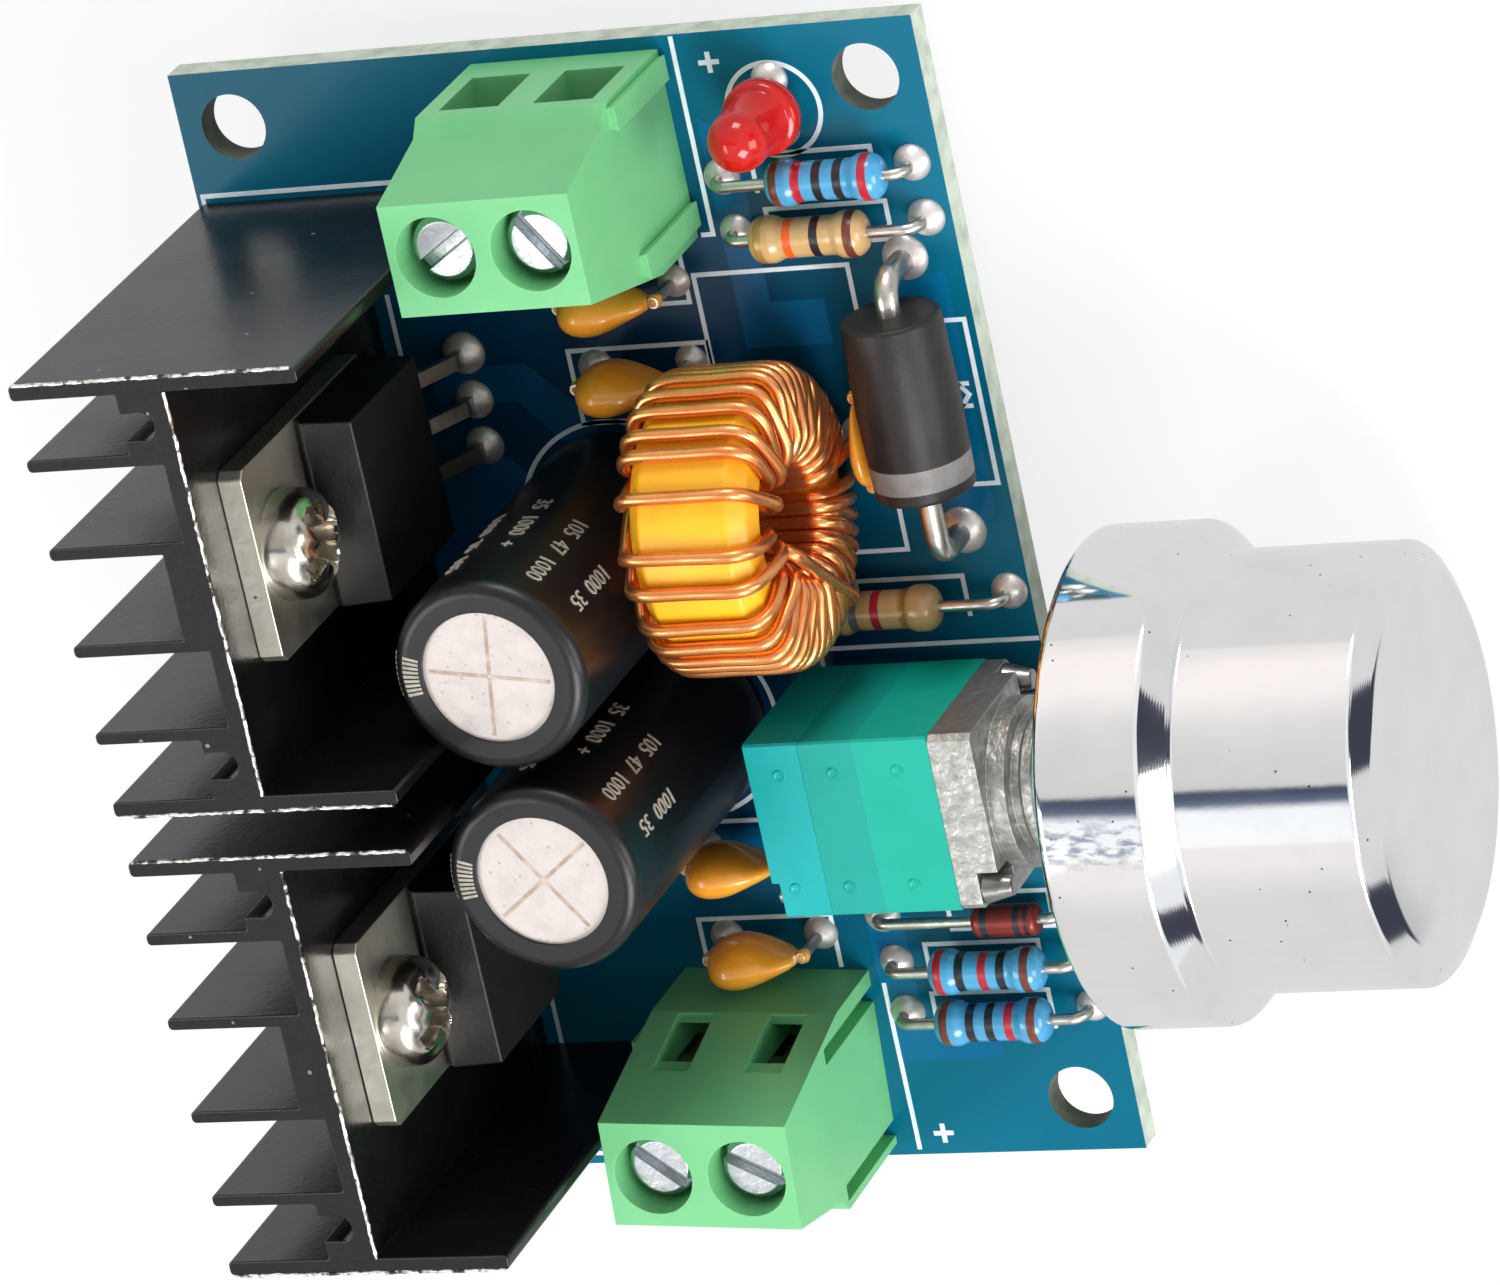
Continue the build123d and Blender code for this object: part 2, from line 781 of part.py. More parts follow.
def axial_leads(places, body_length, height):
    bend = fine_lead_diameter * lead_bend_ratio
    leads = []
    for hole_offset, y, body_offset in places:
        left_hole_x = plate_end_x + hole_offset
        body_x = plate_end_x + body_offset
        for side, hole_x in ((-1, left_hole_x), (1, left_hole_x + axial_hole_pitch)):
            start = (body_x + side * body_length / 2, y, board_top + height)
            corner = (hole_x, y, board_top + height)
            end = (hole_x, y, -lead_stub)
            leads.append(bent_wire([start, corner, end], fine_lead_diameter, bend))
            add_lead_hole(hole_x, y, fine_lead_diameter / 2)
    return leads


metal_film_solids = [resistor_body(plate_end_x + offset, y) for _, y, offset in metal_film_places]
with BuildPart() as metal_film_resistors:
    add(metal_film_solids)
export_piece(metal_film_resistors.part, "metal_film_resistors")

carbon_film_solids = [resistor_body(plate_end_x + offset, y) for _, y, offset in carbon_film_places]
with BuildPart() as carbon_film_resistors:
    add(carbon_film_solids)
export_piece(carbon_film_resistors.part, "carbon_film_resistors")

resistor_lead_solids = axial_leads(metal_film_places + carbon_film_places, resistor_length, resistor_height)
with BuildPart() as resistor_leads:
    add(resistor_lead_solids)
export_piece(resistor_leads.part, "resistor_leads")

glass_diode_solids = [glass_diode_body(plate_end_x + offset, y) for _, y, offset in glass_diode_places]
with BuildPart() as glass_diode:
    add(glass_diode_solids)
export_piece(glass_diode.part, "glass_diode_body")
glass_lead_solids = axial_leads(glass_diode_places, glass_diode_length, glass_diode_height)
with BuildPart() as glass_diode_leads:
    add(glass_lead_solids)
export_piece(glass_diode_leads.part, "glass_diode_leads")


# Large axial diode: a moulded body that narrows a little towards both ends

def power_diode_body():
    half = power_diode_length / 2
    radius = power_diode_diameter / 2
    end_radius = radius - power_diode_end_draft
    outline = [(-half, 0), (-half, end_radius), (0, radius), (half, end_radius), (half, 0)]
    return turned_body((power_diode_x, power_diode_y, board_top + power_diode_height), (0, 1, 0), outline)


def power_diode_leads():
    leads = []
    for side in (-1, 1):
        pad_y = power_diode_hole_y + side * power_diode_hole_pitch / 2
        height = board_top + power_diode_height
        start = (power_diode_x, power_diode_y + side * power_diode_length / 2, height)
        corner = (power_diode_x, pad_y, height)
        end = (power_diode_x, pad_y, -lead_stub)
        leads.append(bent_wire([start, corner, end], power_diode_lead_diameter, power_diode_lead_diameter))
        add_lead_hole(power_diode_x, pad_y, power_diode_lead_diameter / 2)
    return leads


export_piece(power_diode_body(), "power_diode_body")
power_diode_lead_solids = power_diode_leads()
with BuildPart() as power_diode_wires:
    add(power_diode_lead_solids)
export_piece(power_diode_wires.part, "power_diode_leads")


# Light-emitting diode: a domed lens with a flanged foot on two square leads

led_bottom = board_top + led_lift
with BuildPart() as led_lens:
    dome_radius = led_dome_diameter / 2
    with BuildSketch(Plane(origin=(led_x, led_y, led_bottom), x_dir=(1, 0, 0), z_dir=(0, -1, 0))):
        with BuildLine():
            Polyline(
                (0, 0),
                (led_flange_diameter / 2, 0),
                (led_flange_diameter / 2, led_flange_height),
                (dome_radius, led_flange_height),
                (dome_radius, led_height - dome_radius),
            )
            RadiusArc((dome_radius, led_height - dome_radius), (0, led_height), -dome_radius)
            Line((0, led_height), (0, 0))
        make_face()
    revolve(axis=Axis((led_x, led_y, 0), (0, 0, 1)))
export_piece(led_lens.part, "led_lens")

led_lead_places = [led_y - led_lead_pitch / 2, led_y + led_lead_pitch / 2]
with BuildPart() as led_leads:
    with BuildSketch(Plane.XY.offset(-lead_stub)):
        with Locations(*[(led_x, lead_y) for lead_y in led_lead_places]):
            Rectangle(led_lead_width, led_lead_width)
    extrude(amount=led_bottom + lead_stub)
for lead_y in led_lead_places:
    add_lead_hole(led_x, lead_y, corner_radius(led_lead_width, led_lead_width))
export_piece(led_leads.part, "led_leads")


# Dipped ceramic capacitors: beads that are fat at one end and taper to the other, between two leads

def ceramic_bead(width, thickness, height):
    with BuildPart() as bead:
        for width_share, thickness_share, height_share in bead_stations:
            with BuildSketch(Plane.YZ.offset((width_share - 0.5) * width)):
                Ellipse(thickness * thickness_share / 2, height * height_share / 2)
        loft()
    return bead.part


bead_solids = []
ceramic_lead_solids = []


def add_ceramic_capacitors(places, size):
    width, _, height = size
    center_z = board_top + ceramic_lift + height / 2
    lead_reach = (width + fine_lead_diameter) / 2
    for offset, y, turn in places:
        place = Location((plate_end_x + offset, y, center_z), (0, 0, turn))
        bead_solids.append(place * ceramic_bead(*size))
        for side in (-1, 1):
            spot = (place * Location((side * lead_reach, 0, 0))).position
            ceramic_lead_solids.append(straight_lead(spot.X, spot.Y, center_z, fine_lead_diameter))


add_ceramic_capacitors(ceramic_places, ceramic_size)
add_ceramic_capacitors(small_ceramic_places, small_ceramic_size)

with BuildPart() as ceramic_capacitors:
    add(bead_solids)
export_piece(ceramic_capacitors.part, "ceramic_capacitors")
with BuildPart() as ceramic_capacitor_leads:
    add(ceramic_lead_solids)
export_piece(ceramic_capacitor_leads.part, "ceramic_capacitor_leads")


# Potentiometer: three moulded wafers behind a cast faceplate, held by two rivets, on pins

rivet_offset = pot_width / 2 - rivet_inset
rivet_places = [(-rivet_offset, rivet_offset), (rivet_offset, -rivet_offset)]


# A plane square to the shaft, with its x towards +Y and its y up
def shaft_plane(x):
    return Plane(origin=(x, pot_axis_y, pot_axis_z), x_dir=(0, 1, 0), z_dir=(1, 0, 0))


def pot_wafer(x, length):
    with BuildPart() as wafer:
        with BuildSketch(shaft_plane(x)):
            Rectangle(pot_width, pot_width)
        extrude(amount=length)
        chamfer(wafer.edges().filter_by(Axis.X), length=wafer_edge_chamfer)
        with BuildSketch(shaft_plane(x)):
            with Locations(*rivet_places):
                Circle(rivet_diameter / 2 + pot_fit_gap)
        extrude(amount=length, mode=Mode.SUBTRACT)
    return wafer.part


with BuildPart() as potentiometer_rear_wafer:
    add(pot_wafer(pot_rear_x, rear_wafer_length))
    with BuildSketch(shaft_plane(pot_rear_x)):
        with Locations((-pot_width / 2, 0)):
            Rectangle(2 * rear_notch_width, pot_width)
    extrude(amount=rear_notch_depth, mode=Mode.SUBTRACT)
export_piece(potentiometer_rear_wafer.part, "potentiometer_rear_wafer")

with BuildPart() as potentiometer_middle_wafer:
    add(pot_wafer(middle_wafer_x, middle_wafer_length))
    with BuildSketch(shaft_plane(middle_wafer_x)):
        with Locations(*[(offset_y, -pot_width / 2) for offset_y in pot_pin_offsets]):
            Rectangle(pot_pin_width + 2 * pot_fit_gap, 2 * pot_pin_reach)
    extrude(amount=pot_pin_thickness + 2 * pot_fit_gap, mode=Mode.SUBTRACT)
export_piece(potentiometer_middle_wafer.part, "potentiometer_middle_wafer")

# The front wafer holds the rotor in a round pocket behind the faceplate
with BuildPart() as potentiometer_front_wafer:
    add(pot_wafer(front_wafer_x, front_wafer_length))
    with BuildSketch(shaft_plane(faceplate_x)):
        Circle(rotor_diameter / 2 + rotor_clearance)
    extrude(amount=-(rotor_thickness + 2 * rotor_clearance), mode=Mode.SUBTRACT)
export_piece(potentiometer_front_wafer.part, "potentiometer_front_wafer")

with BuildPart() as potentiometer_faceplate:
    with BuildSketch(shaft_plane(faceplate_x)):
        Rectangle(pot_width, pot_width)
    extrude(amount=faceplate_thickness)
    chamfer(potentiometer_faceplate.edges().filter_by(Axis.X), length=faceplate_chamfer)
    with BuildSketch(shaft_plane(faceplate_front_x)):
        with Locations(*rivet_places):
            Rectangle(corner_notch_size, corner_notch_size)
    extrude(amount=-corner_notch_depth, mode=Mode.SUBTRACT)
    with BuildSketch(shaft_plane(faceplate_front_x)):
        Circle(pot_width / 2 - boss_margin)
    extrude(amount=boss_height)
    with BuildSketch(shaft_plane(faceplate_front_x)):
        Circle(bushing_diameter / 2)
    extrude(amount=bushing_length)
    chamfer(potentiometer_faceplate.edges().group_by(Axis.X)[-1], length=bushing_chamfer)
    with BuildSketch(shaft_plane(faceplate_x)):
        Circle(shaft_neck_diameter / 2 + shaft_clearance)
    extrude(amount=faceplate_thickness + bushing_length, mode=Mode.SUBTRACT)
    with BuildSketch(shaft_plane(faceplate_x)):
        with Locations(*rivet_places):
            Circle(rivet_diameter / 2 + pot_fit_gap)
    extrude(amount=faceplate_thickness, mode=Mode.SUBTRACT)
export_piece(potentiometer_faceplate.part, "potentiometer_faceplate")

# The shaft widens to its full size in front of the bushing and ends in a rotor disc behind it
with BuildPart() as potentiometer_shaft:
    with BuildSketch(shaft_plane(faceplate_x - rotor_clearance)):
        Circle(rotor_diameter / 2)
    extrude(amount=-rotor_thickness)
    with BuildSketch(shaft_plane(faceplate_x - rotor_clearance)):
        Circle(shaft_neck_diameter / 2)
    extrude(amount=bushing_end_x + shaft_end_play - faceplate_x + rotor_clearance)
    with BuildSketch(shaft_plane(bushing_end_x + shaft_end_play)):
        Circle(shaft_diameter / 2)
    extrude(amount=shaft_end_x - bushing_end_x - shaft_end_play)
    chamfer(potentiometer_shaft.edges().group_by(Axis.X)[-1], length=shaft_end_chamfer)
export_piece(potentiometer_shaft.part, "potentiometer_shaft")

with BuildPart() as potentiometer_rivets:
    with BuildSketch(shaft_plane(pot_rear_x)):
        with Locations(*rivet_places):
            Circle(rivet_diameter / 2)
    extrude(amount=faceplate_front_x - corner_notch_depth - pot_rear_x)
    with BuildSketch(shaft_plane(faceplate_front_x - corner_notch_depth)):
        with Locations(*rivet_places):
            Circle(rivet_head_diameter / 2)
    extrude(amount=rivet_head_height, taper=rivet_head_taper)
export_piece(potentiometer_rivets.part, "potentiometer_rivets")

# Flat pins enter the middle wafer from below
pot_pin_x = middle_wafer_x + pot_fit_gap + pot_pin_thickness / 2
pot_bottom_z = pot_axis_z - pot_width / 2
with BuildPart() as potentiometer_pins:
    with BuildSketch(Plane.XY.offset(-lead_stub)):
        with Locations(*[(pot_pin_x, pot_axis_y + offset_y) for offset_y in pot_pin_offsets]):
            Rectangle(pot_pin_thickness, pot_pin_width)
    extrude(amount=lead_stub + pot_bottom_z + pot_pin_reach - pot_fit_gap)
for offset_y in pot_pin_offsets:
    add_lead_hole(pot_pin_x, pot_axis_y + offset_y, corner_radius(pot_pin_width, pot_pin_thickness))
export_piece(potentiometer_pins.part, "potentiometer_pins")


# Knob: a stepped turning with a wide flange towards the board, pushed on the shaft

flange_end_x = knob_rear_x + knob_flange_length
cone_end_x = flange_end_x + knob_cone_length
knob_front_x = knob_rear_x + knob_length
flange_radius = knob_flange_diameter / 2
grip_radius = knob_grip_diameter / 2
bore_radius = shaft_diameter / 2 + knob_bore_gap

with BuildPart() as adjusting_knob:
    knob_plane = Plane(origin=(0, pot_axis_y, pot_axis_z), x_dir=(1, 0, 0), z_dir=(0, -1, 0))
    with BuildSketch(knob_plane):
        with BuildLine():
            Polyline(
                (shaft_end_x + knob_bore_gap, 0),
                (shaft_end_x + knob_bore_gap, bore_radius),
                (knob_rear_x, bore_radius),
                (knob_rear_x, flange_radius - knob_rear_chamfer),
                (knob_rear_x + knob_rear_chamfer, flange_radius),
                (flange_end_x, flange_radius),
                (cone_end_x, grip_radius),
                (knob_front_x - knob_front_chamfer_length, grip_radius),
                (knob_front_x, grip_radius - knob_front_chamfer),
                (knob_front_x, 0),
                close=True,
            )
        make_face()
    revolve(axis=Axis((0, pot_axis_y, pot_axis_z), (1, 0, 0)))
export_piece(adjusting_knob.part, "adjusting_knob")


# Terminal blocks, drawn with the back face at y = 0 and the wire entries towards +Y

back_slope_rise = terminal_height - terminal_back_height
back_slope_plane = Plane(
    origin=(0, 0, terminal_back_height), x_dir=(1, 0, 0), z_dir=(0, -back_slope_rise, terminal_back_slope)
)


def terminal_housing():
    half_width = terminal_width / 2
    rib_high = [(half_width, front_rib_y), (half_width, rear_rib_y)]
    groove_places = [(-half_width, front_rib_y), (-half_width, rear_rib_y)]
    chamber_y = chamber_rear_y + chamber_depth / 2
    with BuildPart() as housing:
        with BuildSketch(Plane.YZ):
            with BuildLine():
                Polyline(
                    (0, 0),
                    (0, terminal_back_height),
                    (terminal_back_slope, terminal_height),
                    (terminal_top_front, terminal_height),
                    (terminal_depth - terminal_lip_depth, terminal_lip_height),
                    (terminal_depth, terminal_entry_height),
                    (terminal_depth, 0),
                    close=True,
                )
            make_face()
        extrude(amount=half_width, both=True)

        # Dovetail ribs on one end and matching grooves on the other, to join blocks in a row
        with BuildSketch(Plane.XY.offset(rib_base)):
            with Locations(*rib_high):
                Trapezoid(2 * rib_depth, rib_width, rib_flank_angle, rotation=90)
        extrude(amount=rib_height)
        with BuildSketch(Plane.XY):
            with Locations(*groove_places):
                Rectangle(2 * (rib_depth + rib_clearance), rib_width + 2 * rib_clearance)
        extrude(amount=rib_base + rib_height + rib_clearance, mode=Mode.SUBTRACT)

        # Screw wells with a ledge under each screw's head
        with BuildSketch(Plane.XY.offset(terminal_height)):
            with Locations(*[(x, terminal_screw_y) for x in pole_positions]):
                Circle(screw_well_diameter / 2)
        extrude(amount=-clamp_screw_sink - clamp_screw_head_height, mode=Mode.SUBTRACT)
        with BuildSketch(Plane.XY.offset(clamp_head_low)):
            with Locations(*[(x, terminal_screw_y) for x in pole_positions]):
                Circle(clamp_screw_diameter / 2 + clamp_screw_clearance)
        extrude(amount=-(clamp_head_low - chamber_floor), mode=Mode.SUBTRACT)

        # Chambers for the rising cages
        with BuildSketch(Plane.XY.offset(chamber_floor)):
            with Locations(*[(x, chamber_y) for x in pole_positions]):
                Rectangle(chamber_width, chamber_depth)
        extrude(amount=chamber_height, mode=Mode.SUBTRACT)

        # Wire entries in the front
        with BuildSketch(Plane.XZ.offset(-terminal_depth)):
            with Locations(*[(x, (entry_low + entry_high) / 2) for x in pole_positions]):
                Rectangle(entry_width, entry_high - entry_low)
        extrude(amount=terminal_depth - chamber_y, mode=Mode.SUBTRACT)

        # Windows in the sloping back: a shallow recess with a hole into a pocket behind the thin back wall
        window_center = (window_low + window_high) / 2
        with BuildSketch(back_slope_plane):
            with Locations(*[(x, window_center - terminal_back_height) for x in pole_positions]):
                Rectangle(window_width, window_high - window_low)
        extrude(amount=-window_recess, mode=Mode.SUBTRACT)
        with BuildSketch(Plane.XZ):
            with Locations(*[(x, (window_low + window_hole_high) / 2) for x in pole_positions]):
                Rectangle(window_width, window_hole_high - window_low)
        extrude(amount=-chamber_y, mode=Mode.SUBTRACT)
        with BuildSketch(Plane.XZ.offset(-window_wall)):
            with Locations(*[(x, (chamber_floor + window_hole_high) / 2) for x in pole_positions]):
                Rectangle(window_width, window_hole_high - chamber_floor)
        extrude(amount=window_wall - chamber_y, mode=Mode.SUBTRACT)

        # Slots for the pins in the floor
        with BuildSketch(Plane.XY):
            with Locations(*[(x, terminal_pin_y) for x in pole_positions]):
                slot_growth = 2 * terminal_fit_gap
                Rectangle(terminal_pin_width + slot_growth, terminal_pin_thickness + slot_growth)
        extrude(amount=chamber_floor, mode=Mode.SUBTRACT)
    return housing.part


# The cage is a square tube that the screw draws up, so that it grips the wire under the tongue
def terminal_cage(pole_x):
    cage_width = chamber_width - 2 * cage_clearance
    inner_height = cage_height - cage_top_thickness - cage_wall
    with BuildPart() as cage:
        with BuildSketch(Plane.XZ.offset(-terminal_screw_y)):
            with Locations((pole_x, cage_low + cage_height / 2)):
                Rectangle(cage_width, cage_height)
            with Locations((pole_x, cage_low + cage_wall + inner_height / 2)):
                Rectangle(cage_width - 2 * cage_wall, inner_height, mode=Mode.SUBTRACT)
        extrude(amount=cage_depth / 2, both=True)
        with BuildSketch(Plane.XY.offset(cage_low + cage_height)):
            with Locations((pole_x, terminal_screw_y)):
                Circle(clamp_screw_diameter / 2 + clamp_screw_clearance)
        extrude(amount=-cage_top_thickness, mode=Mode.SUBTRACT)
    return cage.part


def clamp_screw(pole_x, slot_angle):
    head_top = terminal_height - clamp_screw_sink
    with BuildPart() as screw:
        with BuildSketch(Plane.XY.offset(clamp_head_low)):
            with Locations((pole_x, terminal_screw_y)):
                Circle(clamp_screw_head_diameter / 2)
        extrude(amount=clamp_screw_head_height)
        chamfer(screw.edges().group_by(Axis.Z)[-1], length=clamp_screw_chamfer)
        with BuildSketch(Plane.XY.offset(clamp_head_low)):
            with Locations((pole_x, terminal_screw_y)):
                Circle(clamp_screw_diameter / 2)
        extrude(amount=tongue_top + clamp_screw_tip_gap - clamp_head_low)
        with BuildSketch(Plane.XY.offset(head_top)):
            with Locations((pole_x, terminal_screw_y)):
                Rectangle(clamp_screw_head_diameter, clamp_screw_slot, rotation=slot_angle)
        extrude(amount=-clamp_screw_slot_depth, mode=Mode.SUBTRACT)
    return screw.part


# A fixed tongue inside each cage, on a pin that goes through the housing's floor into the board
def terminal_pin(pole_x):
    pin_back = terminal_pin_y - terminal_pin_thickness / 2
    tongue_front = terminal_screw_y + cage_depth / 2 - tongue_setback
    with BuildPart() as pin:
        with BuildSketch(Plane.XY.offset(-board_thickness - lead_stub)):
            with Locations((pole_x, terminal_pin_y)):
                Rectangle(terminal_pin_width, terminal_pin_thickness)
        extrude(amount=board_thickness + lead_stub + tongue_top)
        with BuildSketch(Plane.XY.offset(tongue_top)):
            with Locations((pole_x, (pin_back + tongue_front) / 2)):
                Rectangle(tongue_width, tongue_front - pin_back)
        extrude(amount=-tongue_thickness)
    return pin.part


def place_terminal(name, place, slot_angles):
    export_piece(place * terminal_housing(), f"{name}_terminal_housing")
    for pole_name, pole_x, slot_angle in zip(pole_names, pole_positions, slot_angles):
        export_piece(place * terminal_cage(pole_x), f"{name}_{pole_name}_clamp_cage")
        export_piece(place * clamp_screw(pole_x, slot_angle), f"{name}_{pole_name}_clamp_screw")
    pins = [place * terminal_pin(pole_x) for pole_x in pole_positions]
    export_piece(Compound(children=pins), f"{name}_terminal_pins")
    for pole_x in pole_positions:
        spot = (place * Location((pole_x, terminal_pin_y, 0))).position
        pin_radius = corner_radius(terminal_pin_width, terminal_pin_thickness)
        add_lead_hole(spot.X, spot.Y, pin_radius, covered=True)


output_terminal_y = board_length / 2 - output_terminal_back_inset
output_terminal_spot = (plate_end_x + output_terminal_offset, output_terminal_y, board_top)
place_terminal("output", Location(output_terminal_spot), output_slot_angles)
input_terminal_y = input_terminal_back_inset - board_length / 2
input_terminal_spot = (plate_end_x + input_terminal_offset, input_terminal_y, board_top)
input_terminal_turn = (0, 0, 180 + input_terminal_skew)
place_terminal("input", Location(input_terminal_spot, input_terminal_turn), input_slot_angles)


# Circuit board with its mounting holes and a hole for every lead

with BuildPart() as circuit_board:
    with BuildSketch(Plane.XY):
        Rectangle(board_width, board_length)
        with GridLocations(board_width - 2 * mount_hole_inset, board_length - 2 * mount_hole_inset, 2, 2):
            Circle(mount_hole_diameter / 2, mode=Mode.SUBTRACT)
        for x, y, radius, covered in lead_holes:
            with Locations((x, y)):
                Circle(radius + hole_clearance, mode=Mode.SUBTRACT)
    extrude(amount=board_thickness)
export_piece(circuit_board.part, "circuit_board")


# Solder: each joint fills its hole round the lead and ends in a cone on each free side of the board
def solder_joint(x, y, radius, covered):
    inner = radius + solder_gap
    barrel = radius + hole_clearance - solder_gap
    outer = radius + hole_clearance + solder_spread
    outline = [(inner, -solder_rise), (outer, 0), (barrel, 0), (barrel, board_thickness)]
    if covered:
        outline += [(inner, board_thickness)]
    else:
        outline += [(outer, board_thickness), (inner, board_thickness + solder_rise)]
    with BuildPart() as joint:
        with BuildSketch(Plane(origin=(x, y, 0), x_dir=(1, 0, 0), z_dir=(0, -1, 0))):
            with BuildLine():
                Polyline(*outline, close=True)
            make_face()
        revolve(axis=Axis((x, y, 0), (0, 0, 1)))
    return joint.part


solder_solids = [solder_joint(*lead_hole) for lead_hole in lead_holes]
export_piece(Compound(children=solder_solids), "solder_joints")
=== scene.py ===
import math
import random

import bmesh
import bpy
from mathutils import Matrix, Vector


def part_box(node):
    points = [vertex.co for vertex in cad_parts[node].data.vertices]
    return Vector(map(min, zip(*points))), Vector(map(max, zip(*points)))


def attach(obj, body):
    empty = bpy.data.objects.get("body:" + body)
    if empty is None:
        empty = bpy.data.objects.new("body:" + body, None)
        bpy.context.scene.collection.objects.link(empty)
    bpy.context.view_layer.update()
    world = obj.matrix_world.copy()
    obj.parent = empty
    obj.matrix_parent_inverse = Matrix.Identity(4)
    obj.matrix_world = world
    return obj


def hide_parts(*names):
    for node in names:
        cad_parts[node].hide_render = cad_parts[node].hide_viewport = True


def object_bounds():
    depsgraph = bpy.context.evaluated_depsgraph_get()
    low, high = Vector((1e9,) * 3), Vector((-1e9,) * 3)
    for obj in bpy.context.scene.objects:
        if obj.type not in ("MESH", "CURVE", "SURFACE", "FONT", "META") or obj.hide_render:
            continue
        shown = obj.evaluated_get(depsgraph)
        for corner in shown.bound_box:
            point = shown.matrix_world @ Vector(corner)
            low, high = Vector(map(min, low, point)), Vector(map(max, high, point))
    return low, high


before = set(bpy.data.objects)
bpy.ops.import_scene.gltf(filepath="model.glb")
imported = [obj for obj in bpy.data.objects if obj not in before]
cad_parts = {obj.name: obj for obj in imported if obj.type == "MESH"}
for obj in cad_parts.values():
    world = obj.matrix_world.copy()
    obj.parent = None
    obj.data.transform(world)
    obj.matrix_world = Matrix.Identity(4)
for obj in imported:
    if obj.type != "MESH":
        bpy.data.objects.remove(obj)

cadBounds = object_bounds()
mm = 0.001
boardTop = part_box("circuit_board")[1].z


# colours are written as the 0 to 255 values a paint program shows
def paint(red, green, blue):
    def linear(value):
        part = value / 255
        return part / 12.92 if part <= 0.04045 else ((part + 0.055) / 1.055) ** 2.4
    return (linear(red), linear(green), linear(blue), 1.0)


# ---- short ways to build node trees
# fills a node's inputs: another node's output is linked, anything else is a plain value
def feed(tree, node, inputs):
    for label, value in inputs.items():
        if isinstance(value, bpy.types.NodeSocket):
            tree.links.new(value, node.inputs[label])
        else:
            node.inputs[label].default_value = value


def addNode(tree, kind, inputs=None, **settings):
    node = tree.nodes.new(kind)
    for name, value in settings.items():
        setattr(node, name, value)
    feed(tree, node, inputs or {})
    return node


def calc(tree, operation, *values, clamp=False):
    node = addNode(tree, "ShaderNodeMath", dict(enumerate(values)), operation=operation,
                   use_clamp=clamp)
    return node.outputs[0]


def mapped(tree, value, low, high, toLow=0.0, toHigh=1.0):
    node = addNode(tree, "ShaderNodeMapRange",
                   {"Value": value, "From Min": low, "From Max": high,
                    "To Min": toLow, "To Max": toHigh})
    return node.outputs["Result"]


def mixColors(tree, share, first, second):
    node = addNode(tree, "ShaderNodeMix", {"Factor": share, "A": first, "B": second},
                   data_type="RGBA")
    return node.outputs["Result"]


def mixShaders(tree, share, first, second):
    node = addNode(tree, "ShaderNodeMixShader", {"Fac": share, 1: first, 2: second})
    return node.outputs["Shader"]


def objectPlace(tree):
    return addNode(tree, "ShaderNodeTexCoord").outputs["Object"]


def useGroup(tree, group, inputs):
    return addNode(tree, "ShaderNodeGroup", inputs, node_tree=group).outputs


# rows of inputs are (name, kind, default); the outputs need no default
def newGroup(name, inputs, outputs, kind="ShaderNodeTree"):
    tree = bpy.data.node_groups.new(name, kind)
    for label, socketKind, *value in inputs:
        socket = tree.interface.new_socket(label, in_out="INPUT",
                                           socket_type="NodeSocket" + socketKind)
        if value:
            socket.default_value = value[0]
    for label, socketKind in outputs:
        tree.interface.new_socket(label, in_out="OUTPUT", socket_type="NodeSocket" + socketKind)
    return tree, tree.nodes.new("NodeGroupInput").outputs, tree.nodes.new("NodeGroupOutput")


# ---- shader groups used by several materials
# cloudy patches of a second colour over the first
def makePatchGroup():
    tree, given, result = newGroup(
        "patches",
        [("Color", "Color", (0.5, 0.5, 0.5, 1)), ("Patch Color", "Color", (0.4, 0.4, 0.4, 1)),
         ("Scale", "Float", 300.0), ("Low", "Float", 0.4), ("High", "Float", 0.7),
         ("Amount", "Float", 1.0)],
        [("Color", "Color"), ("Mask", "Float")])
    noise = addNode(tree, "ShaderNodeTexNoise",
                    {"Vector": objectPlace(tree), "Scale": given["Scale"], "Detail": 6})
    cloud = mapped(tree, noise.outputs["Fac"], given["Low"], given["High"])
    mask = calc(tree, "MULTIPLY", cloud, given["Amount"])
    color = mixColors(tree, mask, given["Color"], given["Patch Color"])
    feed(tree, result, {"Color": color, "Mask": mask})
    return tree


# small round pits or specks in a share of the cells
def makeSpeckGroup():
    tree, given, result = newGroup(
        "specks",
        [("Scale", "Float", 1500.0), ("Size", "Float", 0.1), ("Amount", "Float", 0.3)],
        [("Mask", "Float")])
    cells = addNode(tree, "ShaderNodeTexVoronoi",
                    {"Vector": objectPlace(tree), "Scale": given["Scale"]})
    pick = addNode(tree, "ShaderNodeSeparateColor", {"Color": cells.outputs["Color"]})
    near = calc(tree, "LESS_THAN", cells.outputs["Distance"], given["Size"])
    chosen = calc(tree, "LESS_THAN", pick.outputs["Red"], given["Amount"])
    feed(tree, result, {"Mask": calc(tree, "MULTIPLY", near, chosen)})
    return tree


# a fine uneven surface, as a height; the broad waves are about eight times as long
def makeGrainGroup():
    tree, given, result = newGroup(
        "grain", [("Scale", "Float", 2000.0), ("Coarse", "Float", 0.3)], [("Height", "Float")])
    place = objectPlace(tree)
    fine = addNode(tree, "ShaderNodeTexNoise",
                   {"Vector": place, "Scale": given["Scale"], "Detail": 4})
    broad = addNode(tree, "ShaderNodeTexNoise",
                    {"Vector": place, "Scale": calc(tree, "MULTIPLY", given["Scale"], 0.12),
                     "Detail": 2})
    feed(tree, result, {"Height": calc(tree, "MULTIPLY_ADD", broad.outputs["Fac"],
                                       given["Coarse"], fine.outputs["Fac"])})
    return tree


